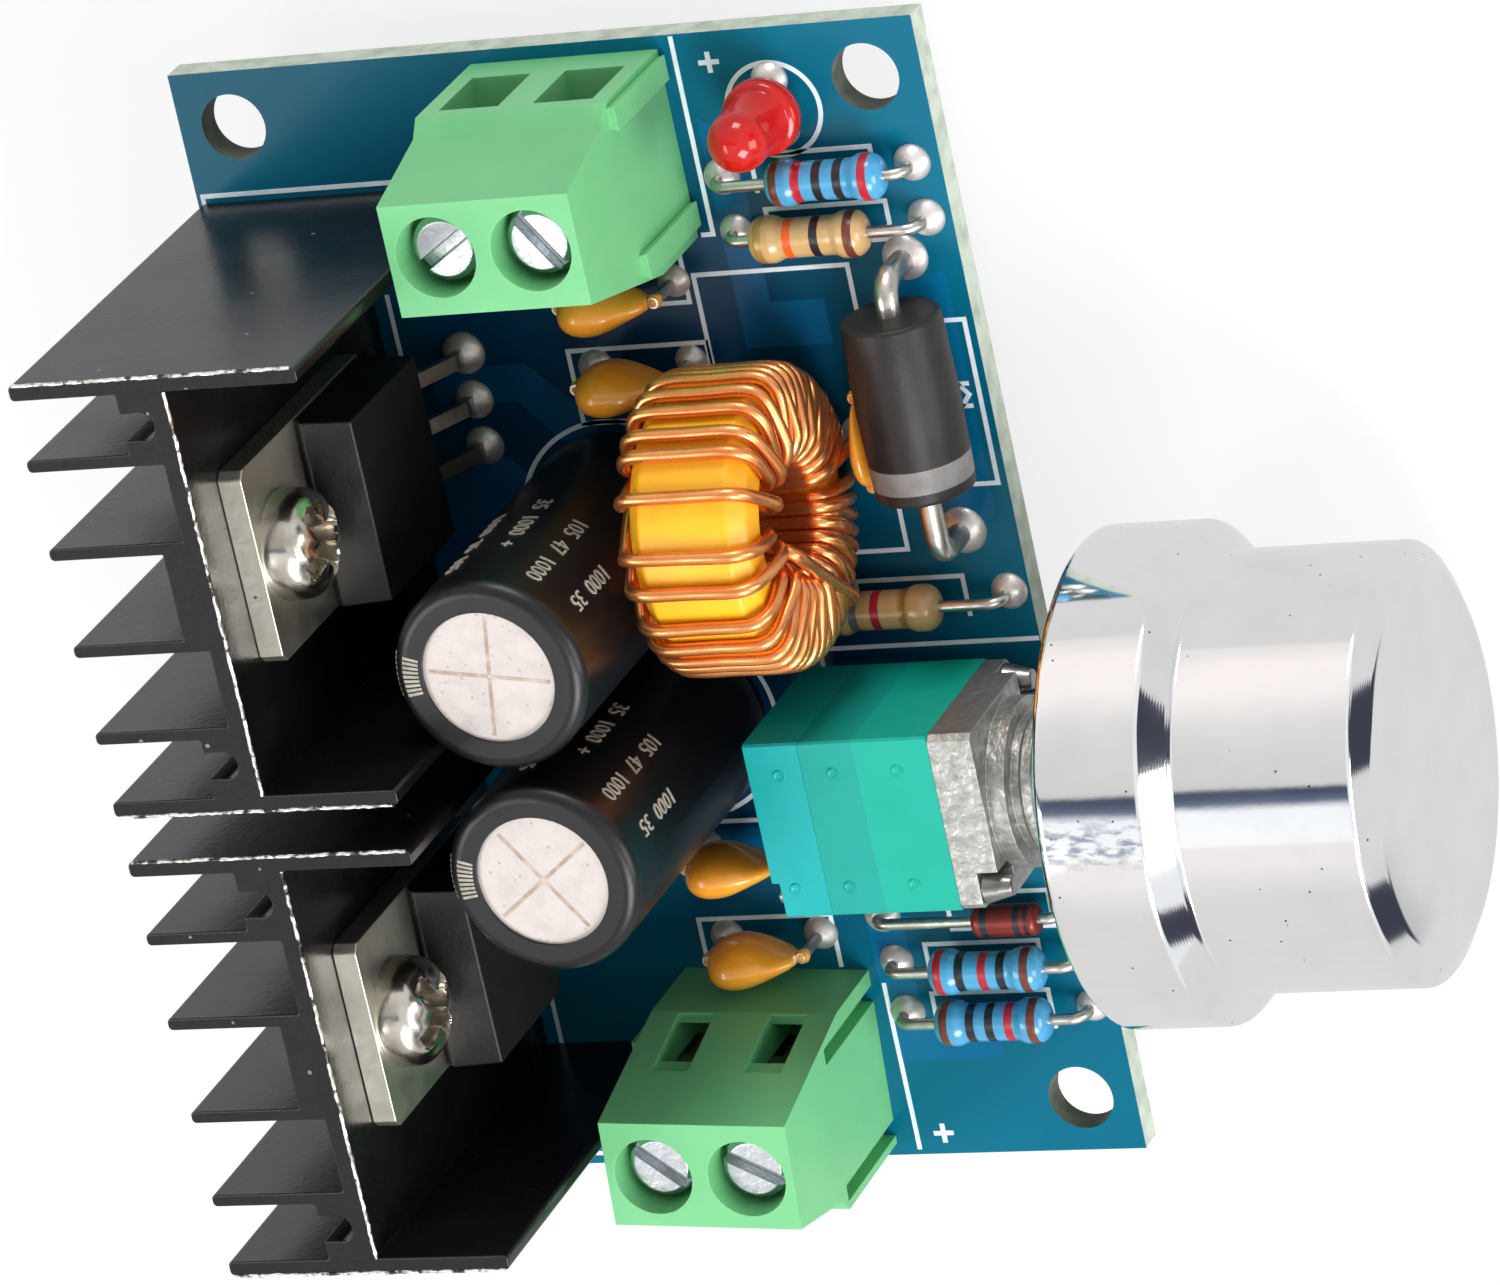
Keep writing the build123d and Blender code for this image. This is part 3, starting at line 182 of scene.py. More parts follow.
# 1 between two values, with soft ends inside them
def makeBetweenGroup():
    tree, given, result = newGroup(
        "between",
        [("Value", "Float", 0.0), ("From", "Float", 0.0), ("To", "Float", 1.0),
         ("Soft", "Float", 1.0)],
        [("Mask", "Float")])
    rises = []
    for upper, lower in (("Value", "From"), ("To", "Value")):
        gap = calc(tree, "SUBTRACT", given[upper], given[lower])
        rises.append(calc(tree, "DIVIDE", gap, given["Soft"], clamp=True))
    feed(tree, result, {"Mask": calc(tree, "MULTIPLY", *rises)})
    return tree


patchGroup = makePatchGroup()
speckGroup = makeSpeckGroup()
grainGroup = makeGrainGroup()
betweenGroup = makeBetweenGroup()


def between(tree, value, low, high, soft):
    return useGroup(tree, betweenGroup,
                    {"Value": value, "From": low, "To": high, "Soft": soft})["Mask"]


# ---- finishes
# a base colour with cloudy patches, specks where asked for, and a grain in the bump;
# specks are (scale, size, share, colour)
def finish(name, color, patch, patchScale=400, patchAmount=0.5, low=0.4, high=0.7,
           rough=0.4, roughPatch=None, metal=0.0, grainScale=2500, grainDepth=0.004, coarse=0.4,
           specks=None, coat=0.0, coatRough=0.1, spec=0.5, through=0.0, ior=1.5, scatter=0.0):
    material = bpy.data.materials.new(name)
    material.use_nodes = True
    tree = material.node_tree
    shader = tree.nodes["Principled BSDF"]
    patches = useGroup(tree, patchGroup,
                       {"Color": paint(*color), "Patch Color": paint(*patch),
                        "Scale": patchScale, "Low": low, "High": high, "Amount": patchAmount})
    base = patches["Color"]
    if specks:
        scale, size, share, speckColor = specks
        spots = useGroup(tree, speckGroup, {"Scale": scale, "Size": size, "Amount": share})
        base = mixColors(tree, spots["Mask"], base, paint(*speckColor))
    grain = useGroup(tree, grainGroup, {"Scale": grainScale, "Coarse": coarse})
    bump = addNode(tree, "ShaderNodeBump", {"Height": grain["Height"], "Strength": 1.0,
                                            "Distance": grainDepth * mm})
    feed(tree, shader, {
        "Base Color": base, "Metallic": metal, "Roughness": rough,
        "Specular IOR Level": spec, "Coat Weight": coat, "Coat Roughness": coatRough,
        "Transmission Weight": through, "IOR": ior, "Normal": bump.outputs["Normal"]})
    if roughPatch is not None:
        feed(tree, shader, {"Roughness": mapped(tree, patches["Mask"], 0.0, 1.0,
                                                rough, roughPatch)})
    if scatter:
        feed(tree, shader, {"Subsurface Weight": scatter, "Subsurface Scale": 0.001})
    return material


# lays a colour over a finish's own base colour where the mask is 1
def tintBase(material, mask, color):
    tree = material.node_tree
    base = tree.nodes["Principled BSDF"].inputs["Base Color"]
    tree.links.new(mixColors(tree, mask, base.links[0].from_socket, color), base)


finishTable = {
    # name: (colour, patch colour, patch scale, patch amount, what differs from the usual)
    "solderMask": ((6, 100, 126), (2, 84, 108), 60, 0.6,
                   dict(rough=0.25, grainScale=900, grainDepth=0.01, spec=0.12)),
    "copperMask": ((6, 102, 144), (3, 88, 128), 80, 0.6,
                   dict(rough=0.25, grainScale=900, grainDepth=0.01, spec=0.15)),
    # the mounting holes' walls, darkened as painted shade inside the holes
    "holeWall": ((92, 98, 86), (50, 58, 52), 900, 0.8,
                 dict(rough=0.8, grainScale=3000, grainDepth=0.03)),
    "fibreglass": ((196, 205, 190), (150, 165, 150), 900, 0.8,
                   dict(rough=0.75, grainScale=3000, grainDepth=0.05)),
    "silkscreen": ((232, 240, 246), (204, 216, 226), 900, 0.5,
                   dict(rough=0.6, grainScale=4000, grainDepth=0.02)),
    "solder": ((222, 216, 212), (176, 168, 162), 1300, 0.8,
               dict(rough=0.36, roughPatch=0.6, metal=0.65, grainScale=1500, grainDepth=0.04)),
    "tinnedWire": ((200, 196, 188), (140, 134, 124), 700, 0.6,
                   dict(rough=0.3, roughPatch=0.5, metal=1.0, grainDepth=0.02)),
    "anodised": ((15, 14, 14), (26, 24, 23), 250, 0.5,
                 dict(rough=0.25, roughPatch=0.36, grainScale=2600, grainDepth=0.012, spec=0.45,
                      specks=(1400, 0.16, 0.025, (110, 108, 106)))),
    "wornEdge": ((120, 116, 112), (30, 29, 29), 1300, 1.0,
                 dict(low=0.56, high=0.68, rough=0.35, metal=0.7, grainScale=2600,
                      grainDepth=0.02)),
    "cutEnd": ((9, 8, 8), (17, 16, 15), 700, 0.6,
               dict(rough=0.5, grainScale=2600, grainDepth=0.03, spec=0.25,
                    specks=(1700, 0.2, 0.05, (120, 116, 112)))),
    "burrMetal": ((226, 222, 216), (58, 56, 54), 1500, 1.0,
                  dict(low=0.5, high=0.6, rough=0.3, metal=0.8, grainScale=3000,
                       grainDepth=0.03)),
    "packageTab": ((214, 210, 198), (190, 184, 168), 500, 0.7,
                   dict(rough=0.38, roughPatch=0.5, metal=1.0, grainScale=1800, grainDepth=0.02,
                        specks=(1600, 0.15, 0.06, (120, 112, 100)))),
    "epoxy": ((19, 18, 18), (26, 25, 25), 700, 0.6,
              dict(rough=0.45, grainScale=3500, grainDepth=0.02, spec=0.4)),
    "screwNickel": ((206, 200, 190), (150, 140, 124), 800, 0.6,
                    dict(rough=0.18, roughPatch=0.35, metal=1.0, grainScale=1500,
                         grainDepth=0.02)),
    "canTop": ((196, 188, 184), (180, 171, 166), 900, 0.6,
               dict(rough=0.5, metal=0.4, grainScale=3500, grainDepth=0.03,
                    specks=(3200, 0.3, 0.12, (176, 164, 156)))),
    # painted brownish shade for the grooves of the can's vent cross
    "ventPaintedShade": ((160, 140, 124), (196, 186, 176), 1500, 0.8,
                  dict(rough=0.5, metal=0.4, grainScale=3500, grainDepth=0.03)),
    "sleeve": ((15, 15, 17), (22, 22, 24), 500, 0.6,
               dict(rough=0.36, grainScale=900, grainDepth=0.01, spec=0.35)),
    "sleevePrint": ((178, 172, 160), (140, 132, 118), 2200, 0.8, dict(rough=0.5)),
    "rubber": ((28, 28, 28), (40, 39, 38), 600, 0.5, dict(rough=0.8)),
    "coreYellow": ((252, 190, 36), (240, 168, 22), 350, 0.5,
                   dict(rough=0.36, grainScale=1100, grainDepth=0.03,
                        specks=(1500, 0.1, 0.04, (120, 90, 30)))),
    "copperWire": ((240, 158, 96), (218, 122, 64), 500, 0.7,
                   dict(rough=0.26, roughPatch=0.36, metal=0.9, grainScale=1300,
                        grainDepth=0.012, coat=0.1, coatRough=0.2)),
    "diodeBody": ((40, 37, 37), (30, 28, 28), 500, 0.7,
                  dict(rough=0.42, grainScale=2600, grainDepth=0.02, spec=0.25)),
    "diodeBand": ((128, 126, 124), (104, 101, 98), 900, 0.7,
                  dict(rough=0.45, grainScale=2600, grainDepth=0.02)),
    "resistorBlue": ((70, 154, 198), (54, 136, 184), 600, 0.5,
                     dict(rough=0.25, grainScale=900, grainDepth=0.01, coat=0.4)),
    "resistorBeige": ((196, 160, 108), (180, 140, 86), 600, 0.5,
                      dict(rough=0.28, grainScale=900, grainDepth=0.01, coat=0.4)),
    "bandBrown": ((104, 52, 38), (84, 40, 30), 900, 0.5, dict(rough=0.3)),
    "bandRed": ((176, 30, 48), (150, 20, 40), 900, 0.5, dict(rough=0.3)),
    "bandBlack": ((26, 26, 32), (38, 38, 44), 900, 0.5, dict(rough=0.3)),
    "bandOrange": ((232, 92, 30), (214, 76, 22), 900, 0.5, dict(rough=0.3)),
    "bandGold": ((176, 138, 74), (150, 112, 56), 900, 0.5, dict(rough=0.35, metal=0.3)),
    "bandGrey": ((96, 92, 88), (80, 76, 72), 900, 0.5, dict(rough=0.35)),
    "diodeCore": ((128, 40, 34), (84, 24, 22), 900, 0.6, dict(rough=0.35, metal=0.4)),
    "ledPlastic": ((210, 28, 22), (196, 18, 18), 500, 0.5,
                   dict(rough=0.12, through=0.25, ior=1.45, scatter=0.5)),
    "ceramicOrange": ((240, 164, 50), (222, 138, 30), 260, 0.8,
                      dict(rough=0.24, grainScale=700, grainDepth=0.02, coat=0.5,
                           coatRough=0.08, scatter=0.15)),
    "tealRear": ((8, 166, 166), (4, 156, 156), 400, 0.5,
                 dict(rough=0.42, grainScale=1500, grainDepth=0.01, spec=0.35)),
    "tealMiddle": ((6, 156, 144), (4, 146, 136), 400, 0.5,
                   dict(rough=0.42, grainScale=1500, grainDepth=0.01, spec=0.35)),
    "tealFront": ((2, 168, 148), (0, 158, 138), 400, 0.5,
                  dict(rough=0.42, grainScale=1500, grainDepth=0.01, spec=0.35)),
    "castZinc": ((176, 176, 172), (132, 132, 128), 1500, 0.8,
                 dict(rough=0.4, roughPatch=0.55, metal=0.9, grainScale=2600, grainDepth=0.09,
                      coarse=0.8)),
    "rivetSteel": ((150, 149, 145), (96, 95, 92), 900, 0.7,
                   dict(rough=0.3, metal=1.0, grainScale=1500, grainDepth=0.03)),
    "terminalGreen": ((112, 190, 130), (100, 180, 120), 260, 0.5,
                      dict(rough=0.42, grainScale=1600, grainDepth=0.012, scatter=0.12)),
    "terminalMetal": ((170, 166, 160), (110, 106, 98), 700, 0.7,
                      dict(rough=0.4, metal=1.0, grainScale=1800, grainDepth=0.03)),
    "clampZinc": ((206, 210, 214), (160, 164, 168), 600, 0.7,
                  dict(rough=0.24, roughPatch=0.42, metal=1.0, grainScale=2200,
                       grainDepth=0.03)),
}
finishes = {name: finish(name, color, patch, scale, amount, **rest)
            for name, (color, patch, scale, amount, rest) in finishTable.items()}

# the mask is painted navy in the middle of the board: partly the copper planes under it, partly
# painted shade
middlePaintedShade = {
    "zones": [("X", -16.0, 18.5, 9.0), ("Y", -22.0, 29.0, 12.0)],    # axis, from, to, soft edge
    "colors": {"solderMask": (2, 52, 84), "copperMask": (4, 74, 116)},
}
for name, color in middlePaintedShade["colors"].items():
    tree = finishes[name].node_tree
    split = addNode(tree, "ShaderNodeSeparateXYZ", {"Vector": objectPlace(tree)})
    zones = [between(tree, split.outputs[axis], low * mm, high * mm, soft * mm)
             for axis, low, high, soft in middlePaintedShade["zones"]]
    tintBase(finishes[name], calc(tree, "MULTIPLY", *zones), paint(*color))
print("finishes ready:", len(finishes))


# ---- making meshes
def addObject(name, data):
    made = bpy.data.objects.new(name, data)
    bpy.context.scene.collection.objects.link(made)
    return made


# the finished shape of a helper object as a plain mesh; the helper goes
def bakeObject(carrier, name):
    shape = carrier.evaluated_get(bpy.context.evaluated_depsgraph_get())
    mesh = bpy.data.meshes.new_from_object(shape)
    mesh.name = name
    bpy.data.objects.remove(carrier)
    return mesh


# runs a geometry tree on some data; values go to the tree's inputs by their names
def bakeTree(name, data, tree, values):
    carrier = addObject(name + "Carrier", data)
    modifier = carrier.modifiers.new(name, "NODES")
    modifier.node_group = tree
    for socket in tree.interface.items_tree:
        if socket.in_out == "INPUT" and socket.name in values:
            modifier[socket.identifier] = values[socket.name]
    return bakeObject(carrier, name)


def addPiece(name, mesh, materials, body="module", replaces=()):
    piece = addObject(name, mesh)
    slots = [polygon.material_index for polygon in mesh.polygons]
    mesh.materials.clear()
    for material in materials:
        mesh.materials.append(finishes[material] if isinstance(material, str) else material)
    mesh.polygons.foreach_set("material_index", slots)
    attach(piece, body)
    if replaces:
        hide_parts(*replaces)


def meshFrom(name, verts, faces, slots=None, sharp=35):
    mesh = bpy.data.meshes.new(name)
    mesh.from_pydata([tuple(vert) for vert in verts], [], faces)
    if slots:
        mesh.polygons.foreach_set("material_index", slots)
    mesh.shade_smooth()
    mesh.set_sharp_from_angle(angle=math.radians(sharp))
    return mesh


def joinMeshes(name, meshes, sharp=35):
    verts, faces, slots = [], [], []
    for mesh in meshes:
        first = len(verts)
        verts += [vert.co.copy() for vert in mesh.vertices]
        faces += [[first + vert for vert in face.vertices] for face in mesh.polygons]
        slots += [face.material_index for face in mesh.polygons]
        bpy.data.meshes.remove(mesh)
    return meshFrom(name, verts, faces, slots, sharp)


def outward(mesh, merge=None):
    made = bmesh.new()
    made.from_mesh(mesh)
    if merge:
        bmesh.ops.remove_doubles(made, verts=made.verts, dist=merge)
    bmesh.ops.recalc_face_normals(made, faces=made.faces)
    made.to_mesh(mesh)
    made.free()
    return mesh


# the four side faces between two rings of four points
def boxSides(first, second):
    return [[first + corner, first + (corner + 1) % 4, second + (corner + 1) % 4, second + corner]
            for corner in range(4)]


# a turned form: rows are (along, radius) or (along, radius, slot) in millimetres from the origin
def turned(name, profile, origin, axis, steps=64, sharp=35):
    forward = Vector(axis).normalized()
    side = Vector((0, 0, 1)) if abs(forward.z) < 0.5 else forward.orthogonal().normalized()
    up = forward.cross(side)
    verts, rings, faces, slots = [], [], [], []
    for along, radius, *_ in profile:
        centre = Vector(origin) + forward * along
        first = len(verts)
        if radius <= 1e-6:
            verts.append(centre * mm)
        for step in range(steps if radius > 1e-6 else 0):
            angle = 2 * math.pi * step / steps
            verts.append((centre + radius * (math.cos(angle) * side + math.sin(angle) * up)) * mm)
        rings.append(range(first, len(verts)))
    for row, low, high in zip(profile, rings, rings[1:]):
        for step in range(steps if len(low) > 1 or len(high) > 1 else 0):
            after = (step + 1) % steps
            if len(low) == 1:
                faces.append([low[0], high[step], high[after]])
            elif len(high) == 1:
                faces.append([low[step], high[0], low[after]])
            else:
                faces.append([low[step], high[step], high[after], low[after]])
            slots.append(row[2] if len(row) > 2 else 0)
    return outward(meshFrom(name, verts, faces, slots, sharp))


# a corner of a profile or outline rounded off over a reach, as points
def easedCorner(before, here, after, reach, count):
    here = Vector(here)
    toBefore, toAfter = Vector(before) - here, Vector(after) - here
    reach = min(reach, toBefore.length * 0.45, toAfter.length * 0.45)
    start, stop = here + toBefore.normalized() * reach, here + toAfter.normalized() * reach
    rows = []
    for step in range(count + 1):
        share = step / count
        place = start * (1 - share) ** 2 + here * 2 * share * (1 - share) + stop * share ** 2
        rows.append((place.x, place.y))
    return rows


# a copy of a CAD node with its hard edges eased; the narrow bevels may take a second material
def easedCopy(node, width, angle=35, edgeSlot=-1, sharp=None):
    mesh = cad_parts[node].data.copy()
    if "custom_normal" in mesh.attributes:
        mesh.attributes.remove(mesh.attributes["custom_normal"])
    made = bmesh.new()
    made.from_mesh(mesh)
    bmesh.ops.remove_doubles(made, verts=made.verts, dist=1e-6)
    bmesh.ops.dissolve_limit(made, angle_limit=math.radians(0.4), verts=made.verts,
                             edges=made.edges)
    for face in made.faces:
        face.smooth = True
    clean = bpy.data.meshes.new(node + "Clean")
    made.to_mesh(clean)
    made.free()
    bpy.data.meshes.remove(mesh)
    carrier = addObject(node + "Carrier", clean)
    bevel = carrier.modifiers.new("edges", "BEVEL")
    bevel.width = width * mm
    bevel.segments = 2
    bevel.limit_method = "ANGLE"
    bevel.angle_limit = math.radians(angle)
    bevel.harden_normals = sharp is None
    bevel.material = edgeSlot
    bevel.miter_outer = "MITER_ARC"
    result = bakeObject(carrier, node + "Eased")
    if sharp is not None:
        result.set_sharp_from_angle(angle=math.radians(sharp))
    return result


# a closed prism over an outline in millimetres
def slab(outline, low, high):
    count = len(outline)
    verts = [(x * mm, y * mm, height * mm) for height in (low, high) for x, y in outline]
    faces = [list(range(count))[::-1], list(range(count, 2 * count))]
    for step in range(count):
        after = (step + 1) % count
        faces.append([step, after, count + after, count + step])
    return meshFrom("slab", verts, faces, sharp=20)


# a closed flat line of even width along points in millimetres
def printedLine(points, width, low, high, closed=False):
    count = len(points)
    verts, faces = [], []
    for index, point in enumerate(points):
        here = Vector(point)
        ways = []
        if closed or index:
            ways.append((here - Vector(points[index - 1])).normalized())
        if closed or index < count - 1:
            ways.append((Vector(points[(index + 1) % count]) - here).normalized())
        along = sum(ways, Vector((0, 0))).normalized()
        reach = width / 2 / max(0.3, along.dot(ways[0]))       # longer in a corner
        across = Vector((-along.y, along.x)) * reach
        left, right = here + across, here - across
        for place, height in ((left, low), (right, low), (right, high), (left, high)):
            verts.append((place.x * mm, place.y * mm, height * mm))
    for index in range(count if closed else count - 1):
        faces += boxSides(4 * index, 4 * ((index + 1) % count))
    if not closed:
        faces += [[0, 3, 2, 1], [4 * count - 4, 4 * count - 3, 4 * count - 2, 4 * count - 1]]
    return outward(meshFrom("line", verts, faces, sharp=30))


# the last two nodes of every geometry tree here
def finishTree(tree, geometry, material, result):
    realize = addNode(tree, "GeometryNodeRealizeInstances", {"Geometry": geometry})
    coat = addNode(tree, "GeometryNodeSetMaterial",
                   {"Geometry": realize.outputs["Geometry"], "Material": material})
    feed(tree, result, {"Geometry": coat.outputs["Geometry"]})
    return tree


# a round tube along curves, evenly divided; the curve's own radius swells it
def makeTubeTree():
    tree, given, result = newGroup(
        "tube",
        [("Geometry", "Geometry"), ("Radius", "Float", 0.001), ("Step", "Float", 0.001),
         ("Sides", "Int", 12), ("Finish", "Material")],
        [("Geometry", "Geometry")], "GeometryNodeTree")
    smooth = addNode(tree, "GeometryNodeCurveSplineType", {"Curve": given["Geometry"]},
                     spline_type="CATMULL_ROM")
    even = addNode(tree, "GeometryNodeResampleCurve",
                   {"Curve": smooth.outputs["Curve"], "Length": given["Step"]}, mode="LENGTH")
    ring = addNode(tree, "GeometryNodeCurvePrimitiveCircle",
                   {"Resolution": given["Sides"], "Radius": given["Radius"]})
    tube = addNode(tree, "GeometryNodeCurveToMesh",
                   {"Curve": even.outputs["Curve"], "Profile Curve": ring.outputs["Curve"],
                    "Fill Caps": True})
    return finishTree(tree, tube.outputs["Mesh"], given["Finish"], result)


tubeTree = makeTubeTree()


def tubeAlong(name, routes, radius, sides, step, material, swells=None):
    line = bpy.data.curves.new(name, "CURVE")
    line.dimensions = "3D"
    for index, route in enumerate(routes):
        spline = line.splines.new("POLY")
        spline.points.add(len(route) - 1)
        for number, (point, place) in enumerate(zip(spline.points, route)):
            point.co = (place[0] * mm, place[1] * mm, place[2] * mm, 1)
            if swells:
                point.radius = swells[index][number]
    made = bakeTree(name, line, tubeTree, {"Radius": radius * mm, "Step": step * mm,
                                           "Sides": sides, "Finish": finishes[material]})
    made.shade_smooth()
    made.set_sharp_from_angle(angle=math.radians(60))
    return made


def middle(node):
    low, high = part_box(node)
    return (Vector(low) + Vector(high)) / 2 / mm


# the lowest and highest corner of each separate solid of a node
def solidBoxes(node):
    made = bmesh.new()
    made.from_mesh(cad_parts[node].data)
    bmesh.ops.remove_doubles(made, verts=made.verts, dist=2e-6)
    left = set(made.verts)
    boxes = []
    while left:
        group, ahead = set(), [left.pop()]
        while ahead:
            vert = ahead.pop()
            group.add(vert)
            for edge in vert.link_edges:
                other = edge.other_vert(vert)
                if other in left:
                    left.discard(other)
                    ahead.append(other)
        boxes.append([Vector(pick(vert.co[axis] for vert in group) for axis in range(3))
                      for pick in (min, max)])
    made.free()
    return sorted(boxes, key=lambda box: (round(box[0].x, 6), round(box[0].y, 6)))


# ---- camera and lamps
viewpoint = {
    "place": (0.179642, 0.159604, 0.379462),
    "turn": (-25.9094, 19.8445, -12.3908),
    "lens": 211.395,
    "sensor": 36,
}
cameraData = bpy.data.cameras.new("camera")
cameraData.lens = viewpoint["lens"]
cameraData.sensor_width = viewpoint["sensor"]
camera = addObject("camera", cameraData)
camera.location = viewpoint["place"]
camera.rotation_euler = [math.radians(value) for value in viewpoint["turn"]]
bpy.context.scene.camera = camera
bpy.context.scene.view_settings.view_transform = "Standard"

studio = {
    "floorDrop": 0.3,                 # of the floor below the lowest lead end, mm
    "floorHalf": 3.0,                 # metres
    "worldLight": 0.5,
    "lampShine": 0.6,
    "lampAim": (0, 0, 0.01),
    "lamps": [
        # name, place, size, watts
        ("keySoftbox", (0.42, -0.5, 0.72), 0.45, 8.5),
        ("sideSoftbox", (0.8, -0.1, 0.3), 0.4, 3.0),
        ("rearSoftbox", (-0.55, -0.1, 0.7), 0.4, 3.0),
        ("lowSoftbox", (0.1, 0.8, 0.13), 0.3, 3.0),
    ],
    # bearings in degrees between which mirrored light is dark, in the room and on the floor
    "cards": [(3.5, 31.0), (-46.0, -34.0)],
    "floorCards": [(-5.0, 14.0), (-46.0, -29.0)],
    "cardSoft": 1.5,
    "cardTone": (0.05, 0.055, 0.08, 1),
    "cardCentre": (0.034, -0.007),    # the knob's place on the floor
    "cardStart": (0.02, 0.03),        # how far from there the floor's cards fade in
    "cardTop": (0.42, 0.3),           # how steeply up the room's cards fade out
    "panels": [
        # share of the way over the top, from the +Y horizon to the -Y one, and its tone
        (0.0, (0.90, 0.87, 0.85)), (0.06, (1.08, 1.01, 0.99)), (0.15, (1.06, 1.0, 0.98)),
        (0.24, (0.83, 0.825, 0.815)), (0.30, (0.765, 0.765, 0.755)),
        (0.41, (0.73, 0.73, 0.72)), (0.42, (0.04, 0.055, 0.1)), (0.455, (0.14, 0.17, 0.26)),
        (0.475, (1.04, 1.07, 1.1)), (0.575, (1.08, 1.09, 1.1)), (0.58, (0.97, 0.93, 0.92)),
        (0.64, (0.96, 0.93, 0.92)), (0.69, (0.86, 0.84, 0.84)), (0.74, (0.79, 0.78, 0.77)),
        (1.0, (0.78, 0.77, 0.77)),
    ],
    "aheadTone": (0.92, 0.94, 0.97, 1),      # in front of the knob
    "aheadFrom": (0.1, 0.4),
    "floorSeen": 0.8,                 # how much of the floor is plain white to the camera
    "floorTone": 0.77,                # of the floor in a mirror
}
for name, place, size, watts in studio["lamps"]:
    lampData = bpy.data.lights.new(name, "AREA")
    lampData.energy = watts
    lampData.size = size
    lampData.specular_factor = studio["lampShine"]
    lamp = addObject(name, lampData)
    lamp.location = place
    aim = Vector(studio["lampAim"]) - Vector(place)
    lamp.rotation_euler = aim.to_track_quat("-Z", "Y").to_euler()


# ---- what the bright metal mirrors: soft panels overhead and two dark cards at its sides
def makeCardGroup(name, cards):
    tree, given, result = newGroup(name, [("Way", "Vector", (1, 0, 0))], [("Mask", "Float")])
    split = addNode(tree, "ShaderNodeSeparateXYZ", {"Vector": given["Way"]}).outputs
    bearing = calc(tree, "DEGREES", calc(tree, "ARCTAN2", split["Y"], split["X"]))
    masks = [between(tree, bearing, low, high, studio["cardSoft"]) for low, high in cards]
    feed(tree, result, {"Mask": calc(tree, "ADD", *masks, clamp=True)})
    return tree


# white behind the object; only mirrored light sees the panels and the cards
def makeWorld():
    world = bpy.data.worlds.new("studio")
    bpy.context.scene.world = world
    world.use_nodes = True
    tree = world.node_tree
    tree.nodes.clear()
    path = addNode(tree, "ShaderNodeLightPath").outputs
    way = addNode(tree, "ShaderNodeTexCoord").outputs["Generated"]
    split = addNode(tree, "ShaderNodeSeparateXYZ", {"Vector": way}).outputs
    over = calc(tree, "DEGREES", calc(tree, "ARCTAN2", split["Z"], split["Y"]))
    panels = addNode(tree, "ShaderNodeValToRGB", {"Fac": mapped(tree, over, 0.0, 180.0)})
    stops = panels.color_ramp.elements
    while len(stops) < len(studio["panels"]):
        stops.new(0.5)
    for stop, (share, tone) in zip(stops, studio["panels"]):
        stop.position = share
        stop.color = (*tone, 1)
    ahead = mixColors(tree, mapped(tree, split["X"], *studio["aheadFrom"]),
                      panels.outputs["Color"], studio["aheadTone"])
    card = useGroup(tree, makeCardGroup("darkCards", studio["cards"]), {"Way": way})
    low = calc(tree, "MULTIPLY", card["Mask"], mapped(tree, split["Z"], *studio["cardTop"]))
    mirrored = addNode(tree, "ShaderNodeBackground",
                       {"Color": mixColors(tree, low, ahead, studio["cardTone"])})
    light = addNode(tree, "ShaderNodeBackground",
                    {"Color": (0.98, 0.99, 1.0, 1), "Strength": studio["worldLight"]})
    seen = addNode(tree, "ShaderNodeBackground", {"Color": (1, 1, 1, 1), "Strength": 1.0})
    room = mixShaders(tree, path["Is Glossy Ray"], light.outputs["Background"],
                      mirrored.outputs["Background"])
    clear = calc(tree, "MAXIMUM", path["Is Camera Ray"], path["Is Transmission Ray"])
    addNode(tree, "ShaderNodeOutputWorld",
            {"Surface": mixShaders(tree, clear, room, seen.outputs["Background"])})


# white paper to the eye; in a mirror it is a little grey and carries the dark cards
def makeFloorFinish(height):
    material = bpy.data.materials.new("floorPaper")
    material.use_nodes = True
    tree = material.node_tree
    shader = tree.nodes["Principled BSDF"]
    path = addNode(tree, "ShaderNodeLightPath").outputs
    bounced = mixColors(tree, path["Is Diffuse Ray"], (0.9, 0.9, 0.9, 1), (0.45, 0.45, 0.45, 1))
    feed(tree, shader, {"Base Color": bounced, "Roughness": 0.8, "Specular IOR Level": 0.1})
    glow = addNode(tree, "ShaderNodeEmission", {"Strength": 1.0})
    seen = mixShaders(tree, calc(tree, "MULTIPLY", path["Is Camera Ray"], studio["floorSeen"]),
                      shader.outputs["BSDF"], glow.outputs["Emission"])
    away = addNode(tree, "ShaderNodeVectorMath",
                   {0: objectPlace(tree), 1: (*studio["cardCentre"], height)},
                   operation="SUBTRACT").outputs["Vector"]
    far = addNode(tree, "ShaderNodeVectorMath", {0: away}, operation="LENGTH")
    started = mapped(tree, far.outputs["Value"], *studio["cardStart"])
    card = useGroup(tree, makeCardGroup("darkFloorCards", studio["floorCards"]), {"Way": away})
    tone = mixColors(tree, calc(tree, "MULTIPLY", card["Mask"], started),
                     (*[studio["floorTone"]] * 3, 1), studio["cardTone"])
    mirrored = addNode(tree, "ShaderNodeEmission", {"Color": tone})
    last = mixShaders(tree, path["Is Glossy Ray"], seen, mirrored.outputs["Emission"])
    feed(tree, tree.nodes["Material Output"], {"Surface": last})
    return material


def makeFloor():
    height = cadBounds[0][2] - studio["floorDrop"] * mm
    half = studio["floorHalf"]
    corners = [(-half, -half), (half, -half), (half, half), (-half, half)]
    mesh = meshFrom("floor", [(x, y, height) for x, y in corners], [[0, 1, 2, 3]])
    mesh.materials.append(makeFloorFinish(height))
    addObject("floor", mesh)


makeWorld()
makeFloor()
print("camera, lamps and floor ready")


